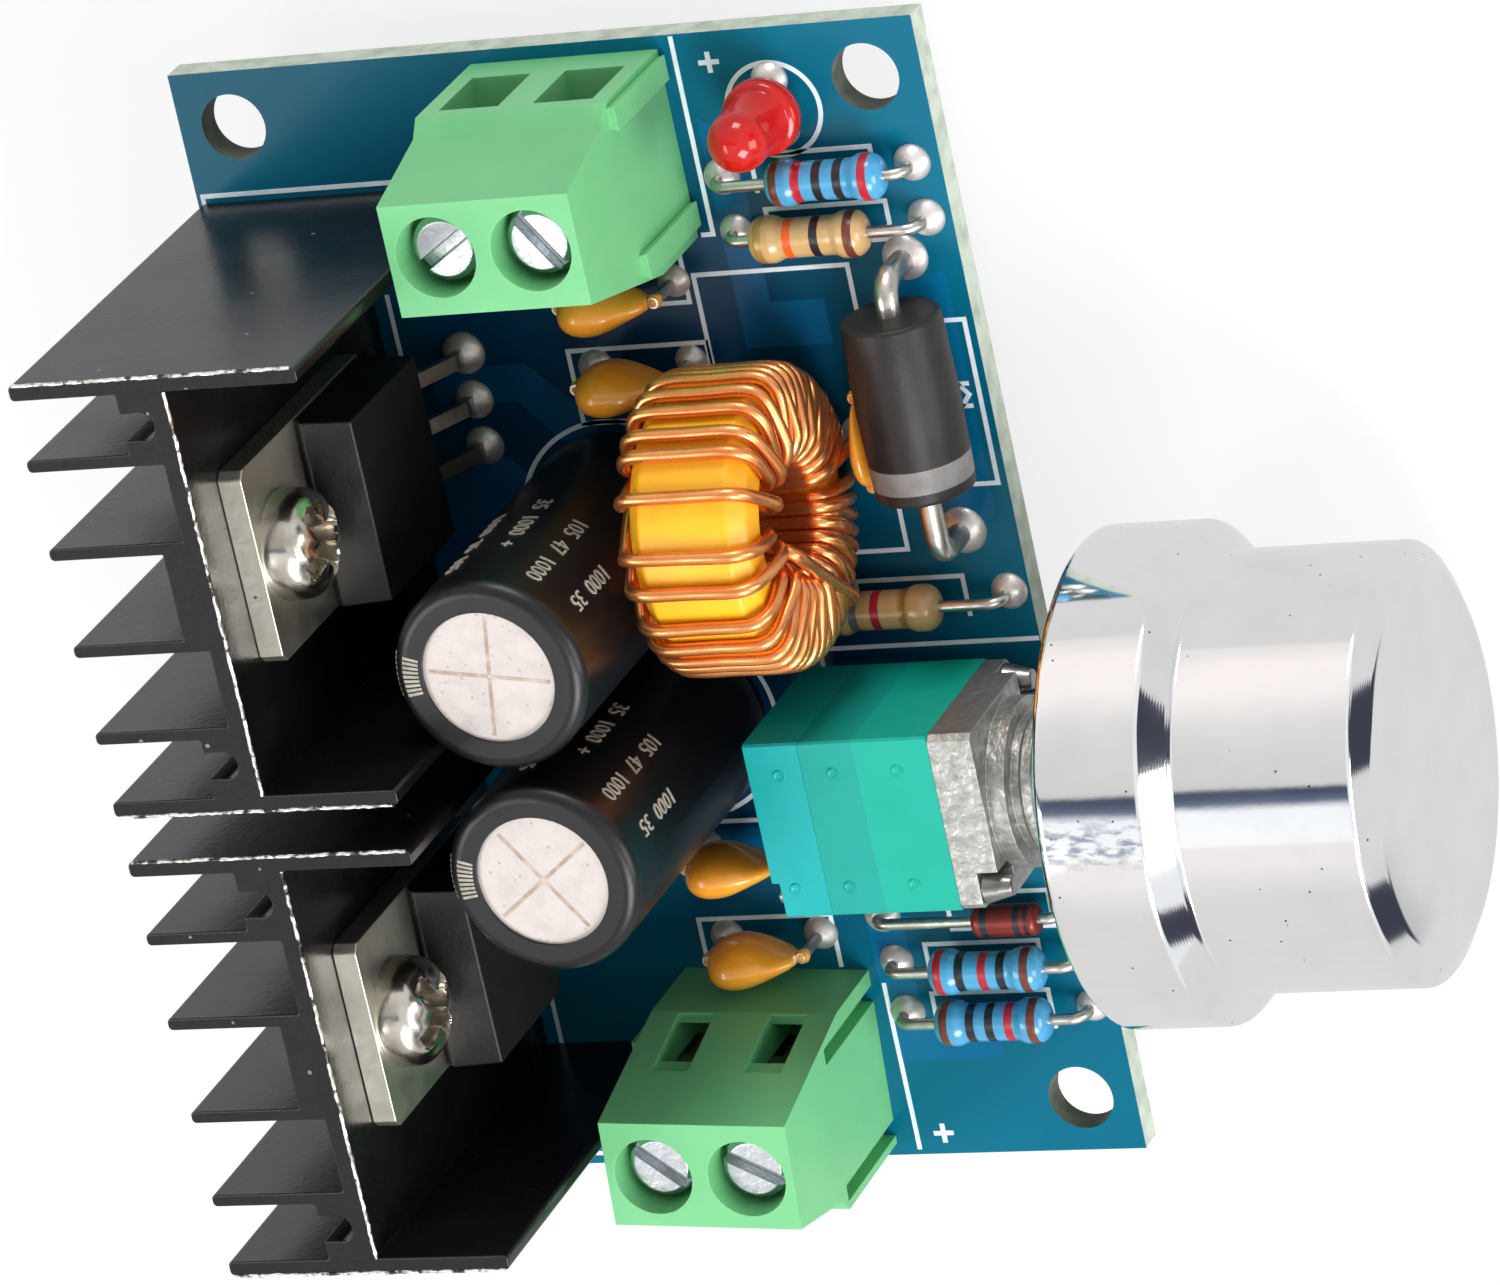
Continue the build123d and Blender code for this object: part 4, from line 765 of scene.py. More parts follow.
# ---- CAD nodes that keep their shape and take a better finish
keptNodes = {
    "tinnedWire": ["heatsink_pins", "rectifier_leads", "regulator_leads", "electrolytic_leads",
                   "resistor_leads", "glass_diode_leads", "led_leads",
                   "ceramic_capacitor_leads", "power_diode_leads", "potentiometer_pins"],
    "rivetSteel": ["potentiometer_shaft"],
    "rubber": ["output_capacitor_bung", "input_capacitor_bung"],
    "terminalMetal": ["output_terminal_pins", "input_terminal_pins"],
    "canTop": ["output_capacitor_can", "input_capacitor_can"],
    "sleeve": ["output_capacitor_sleeve", "input_capacitor_sleeve"],
    "ceramicOrange": ["ceramic_capacitors"],
}
for material, nodes in keptNodes.items():
    for node in nodes:
        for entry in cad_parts[node].material_slots:
            entry.material = finishes[material]

# ---- CAD nodes whose hard edges are eased
easedNodes = {
    # node: (edge width in mm, angle from which an edge counts as one, materials)
    "output_heatsink": (0.09, 35, ["anodised", "wornEdge", "cutEnd"]),
    "input_heatsink": (0.09, 35, ["anodised", "wornEdge", "cutEnd"]),
    "rectifier_tab": (0.08, 35, ["packageTab"]),
    "regulator_tab": (0.08, 35, ["packageTab"]),
    "rectifier_body": (0.12, 25, ["epoxy"]),
    "regulator_body": (0.12, 25, ["epoxy"]),
    "potentiometer_rear_wafer": (0.08, 35, ["tealRear"]),
    "potentiometer_middle_wafer": (0.08, 35, ["tealMiddle"]),
    "potentiometer_front_wafer": (0.08, 35, ["tealFront"]),
    "potentiometer_faceplate": (0.12, 35, ["castZinc"]),
    "potentiometer_rivets": (0.1, 35, ["rivetSteel"]),
    "output_terminal_housing": (0.1, 11, ["terminalGreen"]),
    "input_terminal_housing": (0.1, 11, ["terminalGreen"]),
}


def easeNode(node, width, angle, materials, body="module"):
    # the housings' slight drafts would be smoothed away, so their sharp edges are marked again
    mesh = easedCopy(node, width, angle=max(angle, 12), edgeSlot=1 if len(materials) > 1 else -1,
                     sharp=angle if angle < 20 else None)
    if "cutEnd" in materials:
        for polygon in mesh.polygons:
            if polygon.normal.z > 0.95:
                polygon.material_index = materials.index("cutEnd")
    addPiece(node + "_finished", mesh, materials, body=body, replaces=(node,))


for node, (width, angle, materials) in easedNodes.items():
    easeNode(node, width, angle, materials)
poles = ["output_left", "output_right", "input_left", "input_right"]
clampParts = {"cage": (0.08, 35, ["terminalMetal"]), "screw": (0.07, 35, ["clampZinc"])}
for pole in poles:
    for part, (width, angle, materials) in clampParts.items():
        easeNode(f"{pole}_clamp_{part}", width, angle, materials, body=f"{pole}_{part}")
print("eased pieces ready:", len(easedNodes) + len(clampParts) * len(poles))


# ---- package screws: pan heads with a worn cross recess
screw = {
    "head": 2.8, "height": 2.3, "rim": 0.8, "domePower": 3.4, "rimFoot": 0.12, "rimFlare": 0.02,
    "shank": 1.45, "length": 3.2, "belowTabTop": 3.0,
    "armWidth": 1.3, "armTaper": 0.25, "armReach": 2.15, "sideSlope": 0.14, "endSlope": 0.3,
    "depth": 1.5, "depthFall": 0.25, "turn": 22.0, "turnSpread": 12.0, "seed": 5,
    "wear": 0.03, "wearWaves": (9, 3),       # of the uneven surface: round the head, outwards
    "proud": 0.06,                           # how far the wear stands over the CAD's heads
    "rings": 44, "spokes": 144,
}


# height of the head over its bearing face, at a radius and an angle from the recess
def headHeight(radius, angle, turn):
    share = min(1.0, radius / screw["head"])
    crown = math.sqrt(max(0.0, 1 - share ** screw["domePower"]))
    dome = screw["rim"] + (screw["height"] - screw["rim"]) * crown
    across, along = radius * math.cos(angle - turn), radius * math.sin(angle - turn)
    sunk = 0.0
    for u, v in ((across, along), (along, across)):
        armHalf = screw["armWidth"] / 2 * (1 - screw["armTaper"] * abs(u) / screw["armReach"])
        side = min(1.0, max(0.0, (armHalf - abs(v)) / screw["sideSlope"]))
        end = min(1.0, max(0.0, (screw["armReach"] - abs(u)) / screw["endSlope"]))
        sunk = max(sunk, side * end)
    around, outwards = screw["wearWaves"]
    worn = screw["wear"] * math.sin(around * angle + outwards * radius) * min(1.0, radius)
    return dome + worn - screw["depth"] * sunk * (1 - screw["depthFall"] * share)


def makeScrew(centreY, centreZ, faceX, turn):
    spokes = screw["spokes"]
    angles = [2 * math.pi * spoke / spokes for spoke in range(spokes)]
    verts = [(faceX + headHeight(0.0, 0.0, turn), centreY, centreZ)]
    faces = []

    def addRing(radius, heights):
        for angle, height in zip(angles, heights):
            verts.append((faceX + height, centreY + radius * math.cos(angle),
                          centreZ + radius * math.sin(angle)))

    for ring in range(1, screw["rings"] + 1):
        radius = screw["head"] * (ring / screw["rings"])
        addRing(radius, [headHeight(radius, angle, turn) for angle in angles])
    # the rim, the bearing face and the shank under the dome
    head, shank = screw["head"], screw["shank"]
    for along, radius in ((screw["rimFoot"], head + screw["rimFlare"]), (0.0, head),
                          (0.0, shank), (-screw["length"], shank)):
        addRing(radius, [along] * spokes)
    for spoke in range(spokes):
        after = (spoke + 1) % spokes
        faces.append([0, 1 + spoke, 1 + after])
        for low in range(1, len(verts) - spokes, spokes):
            high = low + spokes
            faces.append([low + spoke, high + spoke, high + after, low + after])
    faces.append(list(range(len(verts) - spokes, len(verts))))
    placed = [(x * mm, y * mm, z * mm) for x, y, z in verts]
    return outward(meshFrom("screw", placed, faces, sharp=28))


def makeScrews():
    chance = random.Random(screw["seed"])
    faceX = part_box("package_screws")[1].x / mm - screw["height"] + screw["proud"]
    screws = []
    for node in ("rectifier_tab", "regulator_tab"):
        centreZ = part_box(node)[1].z / mm - screw["belowTabTop"]
        turn = screw["turn"] + chance.uniform(-screw["turnSpread"], screw["turnSpread"])
        screws.append(makeScrew(middle(node).y, centreZ, faceX, math.radians(turn)))
    addPiece("package_screws_finished", joinMeshes("packageScrews", screws, sharp=28),
             ["screwNickel"], replaces=("package_screws",))


makeScrews()
print("package screws ready")


# ---- circuit board: bare edges, copper seen through the mask, printed outlines
board = {
    "edge": 0.05, "rim": 0.3, "sink": 0.1,
    "copperRise": 0.015, "printRise": 0.03, "printWidth": 0.24,
    "copper": [
        [(7.9, 26.6), (9.7, 25.4), (9.7, 16.6), (12.6, 16.6), (12.6, 14.2), (7.9, 14.2)],
        [(-9.6, 14.2), (-4.3, 14.2), (-1.2, 11.1), (-1.2, 9.2), (-2.6, 9.2), (-5.2, 12.2),
         (-9.6, 12.2)],
        [(-11.6, 9.2), (-6.4, 9.2), (-4.6, 7.4), (-4.6, 3.4), (-7.4, 0.8), (-11.6, 0.8)],
        [(7.6, -15.6), (9.6, -15.6), (9.6, -23.6), (13.6, -24.4), (13.6, -25.6), (7.6, -25.6)],
        [(15.4, 17.6), (19.3, 17.6), (19.3, 4.6), (17.8, 3.2), (15.4, 3.2)],
        [(-0.4, -12.0), (7.0, -12.0), (7.0, -14.0), (-0.4, -14.0)],
        [(-9.9, -24.5), (-5.2, -24.5), (-3.2, -26.6), (-3.2, -30.2), (-9.9, -30.2)],
        [(6.6, -4.2), (7.8, -3.0), (13.4, -3.0), (13.4, -11.8), (6.6, -11.8)],
    ],
    "openLines": [
        [(-19.9, 8.0), (-19.9, 24.4), (-5.0, 24.4)],
        [(-11.0, 18.4), (-11.0, 12.0)],
        [(-11.0, -20.0), (-11.0, -30.4), (-7.0, -30.4)],
        [(7.45, 30.9), (7.45, 20.4), (6.8, 20.4)],
        [(10.3, 22.4), (10.3, 24.4), (16.7, 24.4), (16.7, 23.6)],
        [(10.5, 19.5), (10.5, 21.5), (16.9, 21.5), (16.9, 19.5), (15.5, 19.5)],
        [(5.9, 2.9), (5.9, 18.3), (14.2, 18.3), (14.2, 2.9), (9.0, 2.9)],
        [(16.2, 15.0), (19.75, 15.0), (19.75, 6.2), (18.4, 6.2)],
        [(18.3, 11.6), (19.3, 11.6)],
        [(18.3, 10.4), (19.3, 10.4)],
        [(-1.2, 16.9), (5.4, 16.9), (5.4, 20.0)],
        [(11.0, -0.9), (11.0, 1.3), (16.8, 1.3), (16.8, -0.9)],
        [(8.3, -2.3), (20.2, -2.3)],
        [(8.3, -2.3), (8.3, -13.6)],
        [(-1.7, -20.1), (-1.7, -17.1), (5.67, -17.1), (5.67, -20.1)],
        [(10.5, -20.9), (10.5, -19.0), (16.7, -19.0), (16.7, -20.9)],
        [(10.3, -24.0), (10.3, -21.8), (16.7, -21.8), (16.7, -24.0)],
        [(7.8, -21.1), (7.8, -30.7)],
    ],
    "closedLines": [
        [(18.3, 12.1), (18.3, 9.9), (19.2, 11.0)],
        [(-1.8, 14.7), (5.8, 14.7), (5.8, 10.75), (-1.8, 10.75)],
        [(-1.6, -11.6), (5.6, -11.6), (5.6, -14.3), (-1.6, -14.3)],
        [(12.2, -16.2), (17.8, -16.2), (17.8, -18.2), (12.2, -18.2)],
    ],
    "rings": [((-0.7, 5.3), 5.5), ((-0.35, -5.75), 5.5), ((12.1, 26.7), 2.45)],    # centre, radius
    "ringSteps": 72,
    "plusMarks": [(9.2, 29.4), (9.3, -29.8)],
    "plusArm": 0.55, "plusHalf": 0.13,
}


def circlePoints(centre, radius, count):
    turns = [2 * math.pi * step / count for step in range(count)]
    return [(centre[0] + radius * math.cos(turn), centre[1] + radius * math.sin(turn))
            for turn in turns]


def plusPoints(centre):
    far, near = board["plusArm"], board["plusHalf"]
    corners = [(far, near), (near, near), (near, far), (-near, far), (-near, near), (-far, near)]
    corners += [(-x, -y) for x, y in corners]
    return [(centre[0] + x, centre[1] + y) for x, y in corners]


def makeBoard():
    mesh = easedCopy("circuit_board", board["edge"], angle=50)
    low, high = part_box("circuit_board")
    for polygon in mesh.polygons:
        place = polygon.center
        rim = min(place.x - low.x, high.x - place.x, place.y - low.y, high.y - place.y)
        # walls at the board's rim are bare fibreglass; the others are hole walls in painted shade
        wall = 1 if rim < board["rim"] * mm else 2
        polygon.material_index = 0 if abs(polygon.normal.z) >= 0.6 else wall
    addPiece("circuit_board_finished", mesh, ["solderMask", "fibreglass", "holeWall"],
             replaces=("circuit_board",))
    top = boardTop / mm
    bottom = top - board["sink"]
    areas = [slab(outline, bottom, top + board["copperRise"]) for outline in board["copper"]]
    addPiece("copper_areas", outward(joinMeshes("copperAreas", areas, sharp=20)), ["copperMask"])
    printTop, width = top + board["printRise"], board["printWidth"]
    lines = [printedLine(points, width, bottom, printTop) for points in board["openLines"]]
    closed = board["closedLines"] + [circlePoints(centre, radius, board["ringSteps"])
                                     for centre, radius in board["rings"]]
    lines += [printedLine(points, width, bottom, printTop, closed=True) for points in closed]
    lines += [outward(slab(plusPoints(centre), bottom, printTop))
              for centre in board["plusMarks"]]
    addPiece("printed_outlines", joinMeshes("printedOutlines", lines, sharp=30), ["silkscreen"])


makeBoard()
print("board ready")


# ---- solder: a small wetted drop on both sides of every joint of the CAD
solder = {
    "rise": 0.72, "least": 0.1, "uneven": (0.92, 1.08), "seed": 4, "sides": 28,
    # height and radius of a drop of radius 1 and height 1, from a little under the board
    "drop": [(-0.04, 0.0), (-0.04, 1.0), (0.0, 1.0), (0.12, 0.985), (0.3, 0.92), (0.48, 0.82),
             (0.64, 0.7), (0.78, 0.57), (0.89, 0.43), (0.96, 0.3), (0.99, 0.16), (1.0, 0.0)],
}


# one drop at every point, sized and turned by the points' own values
def makeDropTree():
    tree, given, result = newGroup(
        "solderDrops",
        [("Geometry", "Geometry"), ("Drop", "Object"), ("Smallest", "Float", 0.9),
         ("Largest", "Float", 1.1), ("Seed", "Int", 0), ("Finish", "Material")],
        [("Geometry", "Geometry")], "GeometryNodeTree")
    source = addNode(tree, "GeometryNodeObjectInfo", {"Object": given["Drop"]})
    size = addNode(tree, "GeometryNodeInputNamedAttribute", data_type="FLOAT_VECTOR")
    turn = addNode(tree, "GeometryNodeInputNamedAttribute", data_type="FLOAT_VECTOR")
    feed(tree, size, {"Name": "dropSize"})
    feed(tree, turn, {"Name": "dropTurn"})
    uneven = addNode(tree, "FunctionNodeRandomValue",
                     {2: given["Smallest"], 3: given["Largest"], "Seed": given["Seed"]},
                     data_type="FLOAT")
    grown = addNode(tree, "ShaderNodeVectorMath",
                    {0: size.outputs["Attribute"], "Scale": uneven.outputs[1]},
                    operation="SCALE")
    spin = addNode(tree, "FunctionNodeEulerToRotation", {"Euler": turn.outputs["Attribute"]})
    scatter = addNode(tree, "GeometryNodeInstanceOnPoints",
                      {"Points": given["Geometry"], "Instance": source.outputs["Geometry"],
                       "Scale": grown.outputs["Vector"], "Rotation": spin.outputs["Rotation"]})
    return finishTree(tree, scatter.outputs["Instances"], given["Finish"], result)


def makeSolder():
    template = addObject("solderDrop", turned("drop", solder["drop"], (0, 0, 0), (0, 0, 1),
                                              solder["sides"]))
    least = solder["least"] * mm
    spots, sizes, turns = [], [], []
    for low, high in solidBoxes("solder_joints"):
        width = max(high.x - low.x, high.y - low.y) / 2 / mm
        centre = (low + high) / 2
        if high.z > boardTop + least:
            spots.append((centre.x, centre.y, boardTop))
            sizes.append((width, width, min((high.z - boardTop) / mm, solder["rise"])))
            turns.append((0.0, 0.0, 0.0))
        if low.z < -least:
            spots.append((centre.x, centre.y, 0.0))
            sizes.append((width, width, -low.z / mm))
            turns.append((math.pi, 0.0, 0.0))
    points = bpy.data.meshes.new("jointPlaces")
    points.from_pydata(spots, [], [])
    for name, values in (("dropSize", sizes), ("dropTurn", turns)):
        column = points.attributes.new(name, "FLOAT_VECTOR", "POINT")
        for row, value in zip(column.data, values):
            row.vector = value
    smallest, largest = solder["uneven"]
    made = bakeTree("solderDomes", points, makeDropTree(),
                    {"Drop": template, "Smallest": smallest, "Largest": largest,
                     "Seed": solder["seed"], "Finish": finishes["solder"]})
    bpy.data.objects.remove(template)
    made.set_sharp_from_angle(angle=math.radians(50))
    addPiece("solder_domes", made, ["solder"], replaces=("solder_joints",))
    return len(spots)


print("solder drops:", makeSolder())


# ---- burrs that the saw left on the cut ends of the heatsinks
burr = {
    "radius": 0.1, "sides": 6, "step": 0.24, "seed": 8,
    "shortest": 2.0, "longest": 9.0,         # edges in mm: none below, all four ways above
    "sink": 0.02, "sway": (-0.02, 0.03), "lift": (-0.015, 0.03),
    "swells": (0.2, 0.4, 0.7, 1.0, 1.6), "farSide": 0.55,
    "facing": 0.6,                           # how squarely an edge faces a way to count
}


# the edges round the cut end that face the front, and both ends of the long ones
def burrEdges(node):
    made = bmesh.new()
    made.from_mesh(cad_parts[node].data)
    bmesh.ops.remove_doubles(made, verts=made.verts, dist=1e-6)
    top = max(vert.co.z for vert in made.verts)
    found = []
    for edge in made.edges:
        flat = [face for face in edge.link_faces if abs(face.normal.z) > 0.9]
        if (min(vert.co.z for vert in edge.verts) < top - 1e-6
                or len(edge.link_faces) != 2 or len(flat) != 1):
            continue
        start, stop = [vert.co / mm for vert in edge.verts]
        along = stop - start
        if along.length < burr["shortest"]:
            continue
        out = Vector((along.y, -along.x, 0)).normalized()
        if out.dot(flat[0].calc_center_median() / mm - start - along / 2) > 0:
            out = -out
        facing = burr["facing"]
        if out.x > facing or along.length > burr["longest"] and abs(out.y) > facing:
            found.append((start, along, out))
    made.free()
    return found


def makeBurrs(side):
    chance = random.Random(burr["seed"] + len(side))
    routes, swells = [], []
    for start, along, out in burrEdges(side + "_heatsink"):
        count = max(2, round(along.length / burr["step"]) + 1)
        points, sizes = [], []
        for number in range(count):
            place = start + along * number / (count - 1) + out * chance.uniform(*burr["sway"])
            height = place.z - burr["sink"] + chance.uniform(*burr["lift"])
            points.append((place.x, place.y, height))
            sizes.append(chance.choice(burr["swells"])
                         * (burr["farSide"] if out.y < -burr["facing"] else 1.0))
        routes.append(points)
        swells.append(sizes)
    tube = tubeAlong(side + "Burr", routes, burr["radius"], burr["sides"], burr["step"] / 2,
                     "burrMetal", swells)
    addPiece(side + "_heatsink_burr", tube, ["burrMetal"])
    return len(routes)


print("burred edges:", makeBurrs("output"), makeBurrs("input"))


# ---- toroid: a core, and one round wire turn after turn round it, with a strand across its face
toroid = {
    "outer": 14.0, "inner": 7.4, "width": 6.2, "bevel": 0.8, "bevelEase": 0.16,
    "wire": 0.7, "gap": 0.01, "sides": 14, "step": 0.28,
    # degrees round the core: the first turn, those that stand apart, and the last
    "firstAngle": -82.0, "closeBefore": 12,
    "apart": [-2.0, 10.0, 20.5, 32.0, 41.0, 58.0, 81.0, 95.5, 113.0, 125.0, 135.0],
    "closeAfter": 18, "lastAngle": 262.0,
    # in the hole every other turn lies further in, and further out over the faces
    "layerStep": 0.4, "layerOut": 0.8,
    "hip": 0.3,                      # where the wire bends over the rim, as a share of the bend
    "wander": 0.7, "slack": 0.07, "seed": 11,
    # a turn's way into the hole: inwards from the hole's wall, and back from the face
    "holeWay": [(1.45, 0.0), (0.75, 0.1), (0.2, 0.5), (0.0, 1.3)],
    "tailHeights": [-1.5, 0.4], "tailRise": -7.0,     # over the board, and from the core's centre
    "strandFrom": 103.0, "strandTo": 207.0, "strandLift": 0.8,
}


# where the wire's middle runs over the rim, in the hole and over the faces, and its bends
def wireRuns():
    away = toroid["gap"] + toroid["wire"] / 2
    bend = toroid["bevel"] + toroid["wire"] / 2
    return (toroid["outer"] / 2 + away, toroid["inner"] / 2 - away, toroid["width"] / 2 + away,
            bend, bend * toroid["hip"])


# a point by its radius, its place along the core's axis and its angle
def atCore(radius, along, angle):
    core = middle("inductor_core")
    return (core.x + along, core.y + radius * math.cos(math.radians(angle)),
            core.z + radius * math.sin(math.radians(angle)))


def closeTurns(first, last, count):
    return [first + (last - first) * step / count for step in range(count)]


# one turn, from the rear face over the rim into the hole and back to the next turn's start
def turnPoints(angle, following, layer, lean, slack, overRim):
    rim, inner, face, bend, hip = wireRuns()
    hole = inner - layer * toroid["layerStep"]
    holeFace = face + layer * toroid["layerStep"] * toroid["layerOut"]
    points = []
    if overRim:
        points += [atCore(rim - hip + slack, hip - face, angle),
                   atCore(rim + slack, bend - face, angle),
                   atCore(rim + slack, 0.0, angle + lean * 0.4),
                   atCore(rim + slack, face - bend, angle + lean),
                   atCore(rim - hip + slack, face - hip, angle + lean),
                   atCore(rim - bend, face + slack, angle + lean)]
    points += [atCore(hole + inwards, holeFace - back, angle if back else angle + lean * 0.5)
               for inwards, back in toroid["holeWay"]]
    points += [atCore(hole + inwards, back - holeFace, angle)
               for inwards, back in reversed(toroid["holeWay"])]
    points.append(atCore(rim - bend, -face, following))
    return points


def windingRoute():
    chance = random.Random(toroid["seed"])
    apart = toroid["apart"]
    rim, _, face, *_ = wireRuns()
    angles = (closeTurns(toroid["firstAngle"], apart[0], toroid["closeBefore"]) + apart
              + closeTurns(toroid["lastAngle"], apart[-1], toroid["closeAfter"])[::-1])
    core = middle("inductor_core")
    heights = toroid["tailHeights"] + [core.z + toroid["tailRise"]]
    start = atCore(rim, face + 0.5, toroid["firstAngle"])
    stop = atCore(rim, -face - 0.5, angles[-1])
    route = [(start[0], start[1], height) for height in heights]
    for index, angle in enumerate(angles):
        lean = chance.uniform(-toroid["wander"], toroid["wander"])
        slack = chance.uniform(0.0, toroid["slack"])
        following = angles[min(index + 1, len(angles) - 1)]
        route += turnPoints(angle, following, index % 2, lean, slack, overRim=index > 0)
    return route + [(stop[0], stop[1], height) for height in reversed(heights)]


# the strand that crosses the face, out of the hole and over the rim
def strandRoute():
    rim, inner, face, bend, hip = wireRuns()
    lift = toroid["wire"] * toroid["strandLift"]
    fromAngle, toAngle = toroid["strandFrom"], toroid["strandTo"]
    start = Vector(atCore(inner - 0.1, face + lift, fromAngle))
    stop = Vector(atCore(rim - bend, face + lift * 0.9, toAngle))
    route = [atCore(inner - 0.6, 0.6, fromAngle - 8),
             atCore(inner - 0.6, face - 0.9, fromAngle - 5)]
    route += [tuple(start.lerp(stop, share)) for share in (0.0, 0.35, 0.7, 1.0)]
    return route + [atCore(rim - hip, face - hip + 0.1, toAngle + 1),
                    atCore(rim, face - bend, toAngle + 2), atCore(rim, 0.5, toAngle + 3),
                    atCore(rim - 0.5, -0.6, toAngle + 3)]


def makeCore():
    outer, inner = toroid["outer"] / 2, toroid["inner"] / 2
    half, bevel = toroid["width"] / 2, toroid["bevel"]
    corners = [(-half, inner + bevel), (-half, outer - bevel), (-half + bevel, outer),
               (half - bevel, outer), (half, outer - bevel), (half, inner + bevel),
               (half - bevel, inner), (-half + bevel, inner)]
    rows = []
    for index, here in enumerate(corners):
        rows += easedCorner(corners[index - 1], here, corners[(index + 1) % len(corners)],
                            toroid["bevelEase"], 4)
    rows.append(rows[0])
    mesh = turned("core", rows, middle("inductor_core"), (1, 0, 0), 144, sharp=50)
    addPiece("inductor_core_finished", outward(mesh, merge=1e-6), ["coreYellow"],
             replaces=("inductor_core",))


def makeWinding():
    tube = tubeAlong("windingWire", [windingRoute(), strandRoute()], toroid["wire"] / 2,
                     toroid["sides"], toroid["step"], "copperWire")
    addPiece("inductor_winding_finished", tube, ["copperWire"], replaces=("inductor_winding",))


makeWinding()
makeCore()
print("toroid ready")


# ---- capacitors: a light stripe and rows of plain figures on the sleeve, a pressed cross on top
capacitor = {
    "radius": 5.04, "low": 2.3, "curl": 0.72, "opening": 3.5, "shoulder": 0.2,
    "lift": 0.035,                   # of the print over the sleeve
    "stripeAngle": 176.0, "stripeSpan": 26.0, "stripeLines": 9, "stripeWidth": 0.17,
    "stripeStart": 0.5, "stripeOver": 0.6, "stripeSteps": 26, "stripeDepth": 0.08,
    "figureHeight": 1.25, "figureDepth": 0.03, "figurePiece": 0.45,
    "figureTurns": {"output": 0.0, "input": -14.0},
    "figures": [
        # figures, angle round the can, distance of the first figure from the bottom
        ("1000  35  105", 118.0, 9.0), ("35  1000  +", 92.0, 8.2), ("105  47  1000", 64.0, 9.6),
        ("1000  35", 36.0, 11.8), ("+ 35  105", -128.0, 10.4), ("1000", -150.0, 13.8),
    ],
    "ventLength": 3.2, "ventWidth": 0.2, "ventRise": 0.012, "ventSink": 0.05,
    "ventTurns": {"output": -8.0, "input": 36.0},
    "lidRadius": 3.5, "lidRise": 0.02, "lidDepth": 0.3,
}


# distance up the sleeve to radius and height: the wall, then the rounded shoulder, then flat
def sleevePoint(distance, top):
    radius, curl, lift = capacitor["radius"], capacitor["curl"], capacitor["lift"]
    straight = top - curl - capacitor["low"]
    bendLength = curl * math.pi / 2
    if distance < straight:
        return radius + lift, capacitor["low"] + distance
    if distance < straight + bendLength:
        turn = (distance - straight) / curl
        return (radius - curl + (curl + lift) * math.cos(turn),
                top - curl + (curl + lift) * math.sin(turn))
    flat = distance - straight - bendLength
    return max(capacitor["opening"], radius - curl - flat), top + lift


# a point on the sleeve in metres, by its angle, radius and height in millimetres
def onCan(centre, turn, radius, height):
    return ((centre.x + radius * math.cos(turn)) * mm,
            (centre.y + radius * math.sin(turn)) * mm, height * mm)


def stripeLine(centre, top, angle):
    count, depth = capacitor["stripeSteps"], capacitor["stripeDepth"]
    start = capacitor["stripeStart"]
    curl = capacitor["curl"]
    stop = top - curl - capacitor["low"] + curl * math.pi / 2 + capacitor["stripeOver"]
    half = capacitor["stripeWidth"] / 2 / capacitor["radius"]
    verts, faces = [], []
    for index in range(count + 1):
        radius, height = sleevePoint(start + (stop - start) * index / count, top)
        for side, sunk in ((-1, 0), (1, 0), (1, depth), (-1, depth)):
            # on the shoulder the underside goes down as well as inwards
            down = sunk if height > top - capacitor["shoulder"] else 0
            verts.append(onCan(centre, math.radians(angle) + side * half, radius - sunk,
                               height - down))
        if index:
            faces += boxSides(4 * (index - 1), 4 * index)
    faces += [[0, 3, 2, 1], [4 * count, 4 * count + 1, 4 * count + 2, 4 * count + 3]]
    return outward(meshFrom("stripe", verts, faces, sharp=40))


def sleeveFigures(centre, top, text, angle, low):
    letters = bpy.data.curves.new("figures", "FONT")
    letters.body = text
    letters.size = capacitor["figureHeight"]
    letters.extrude = capacitor["figureDepth"]
    letters.resolution_u = 2
    mesh = bakeObject(addObject("figuresCarrier", letters), "figures")
    made = bmesh.new()
    made.from_mesh(mesh)
    bmesh.ops.remove_doubles(made, verts=made.verts, dist=1e-5)
    bmesh.ops.triangulate(made, faces=made.faces)
    long = [edge for edge in made.edges if edge.calc_length() > capacitor["figurePiece"]]
    bmesh.ops.subdivide_edges(made, edges=long, cuts=1)
    for vert in made.verts:
        radius, height = sleevePoint(low + vert.co.x, top)
        turn = math.radians(angle) - vert.co.y / capacitor["radius"]
        vert.co = onCan(centre, turn, radius + vert.co.z, height)
    bmesh.ops.recalc_face_normals(made, faces=made.faces)
    bpy.data.meshes.remove(mesh)
    wrapped = bpy.data.meshes.new("figures")
    made.to_mesh(wrapped)
    made.free()
    return wrapped


def makeSleevePrint(side):
    centre = middle(side + "_capacitor_sleeve")
    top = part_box(side + "_capacitor_sleeve")[1].z / mm
    count, span = capacitor["stripeLines"], capacitor["stripeSpan"]
    lines = [stripeLine(centre, top,
                        capacitor["stripeAngle"] + (index / (count - 1) - 0.5) * span)
             for index in range(count)]
    addPiece(side + "_capacitor_stripe", joinMeshes(side + "Stripe", lines, sharp=40),
             ["sleevePrint"])
    turn = capacitor["figureTurns"][side]
    figures = [sleeveFigures(centre, top, text, angle + turn, low)
               for text, angle, low in capacitor["figures"]]
    addPiece(side + "_capacitor_figures", joinMeshes(side + "Figures", figures, sharp=30),
             ["sleevePrint"])
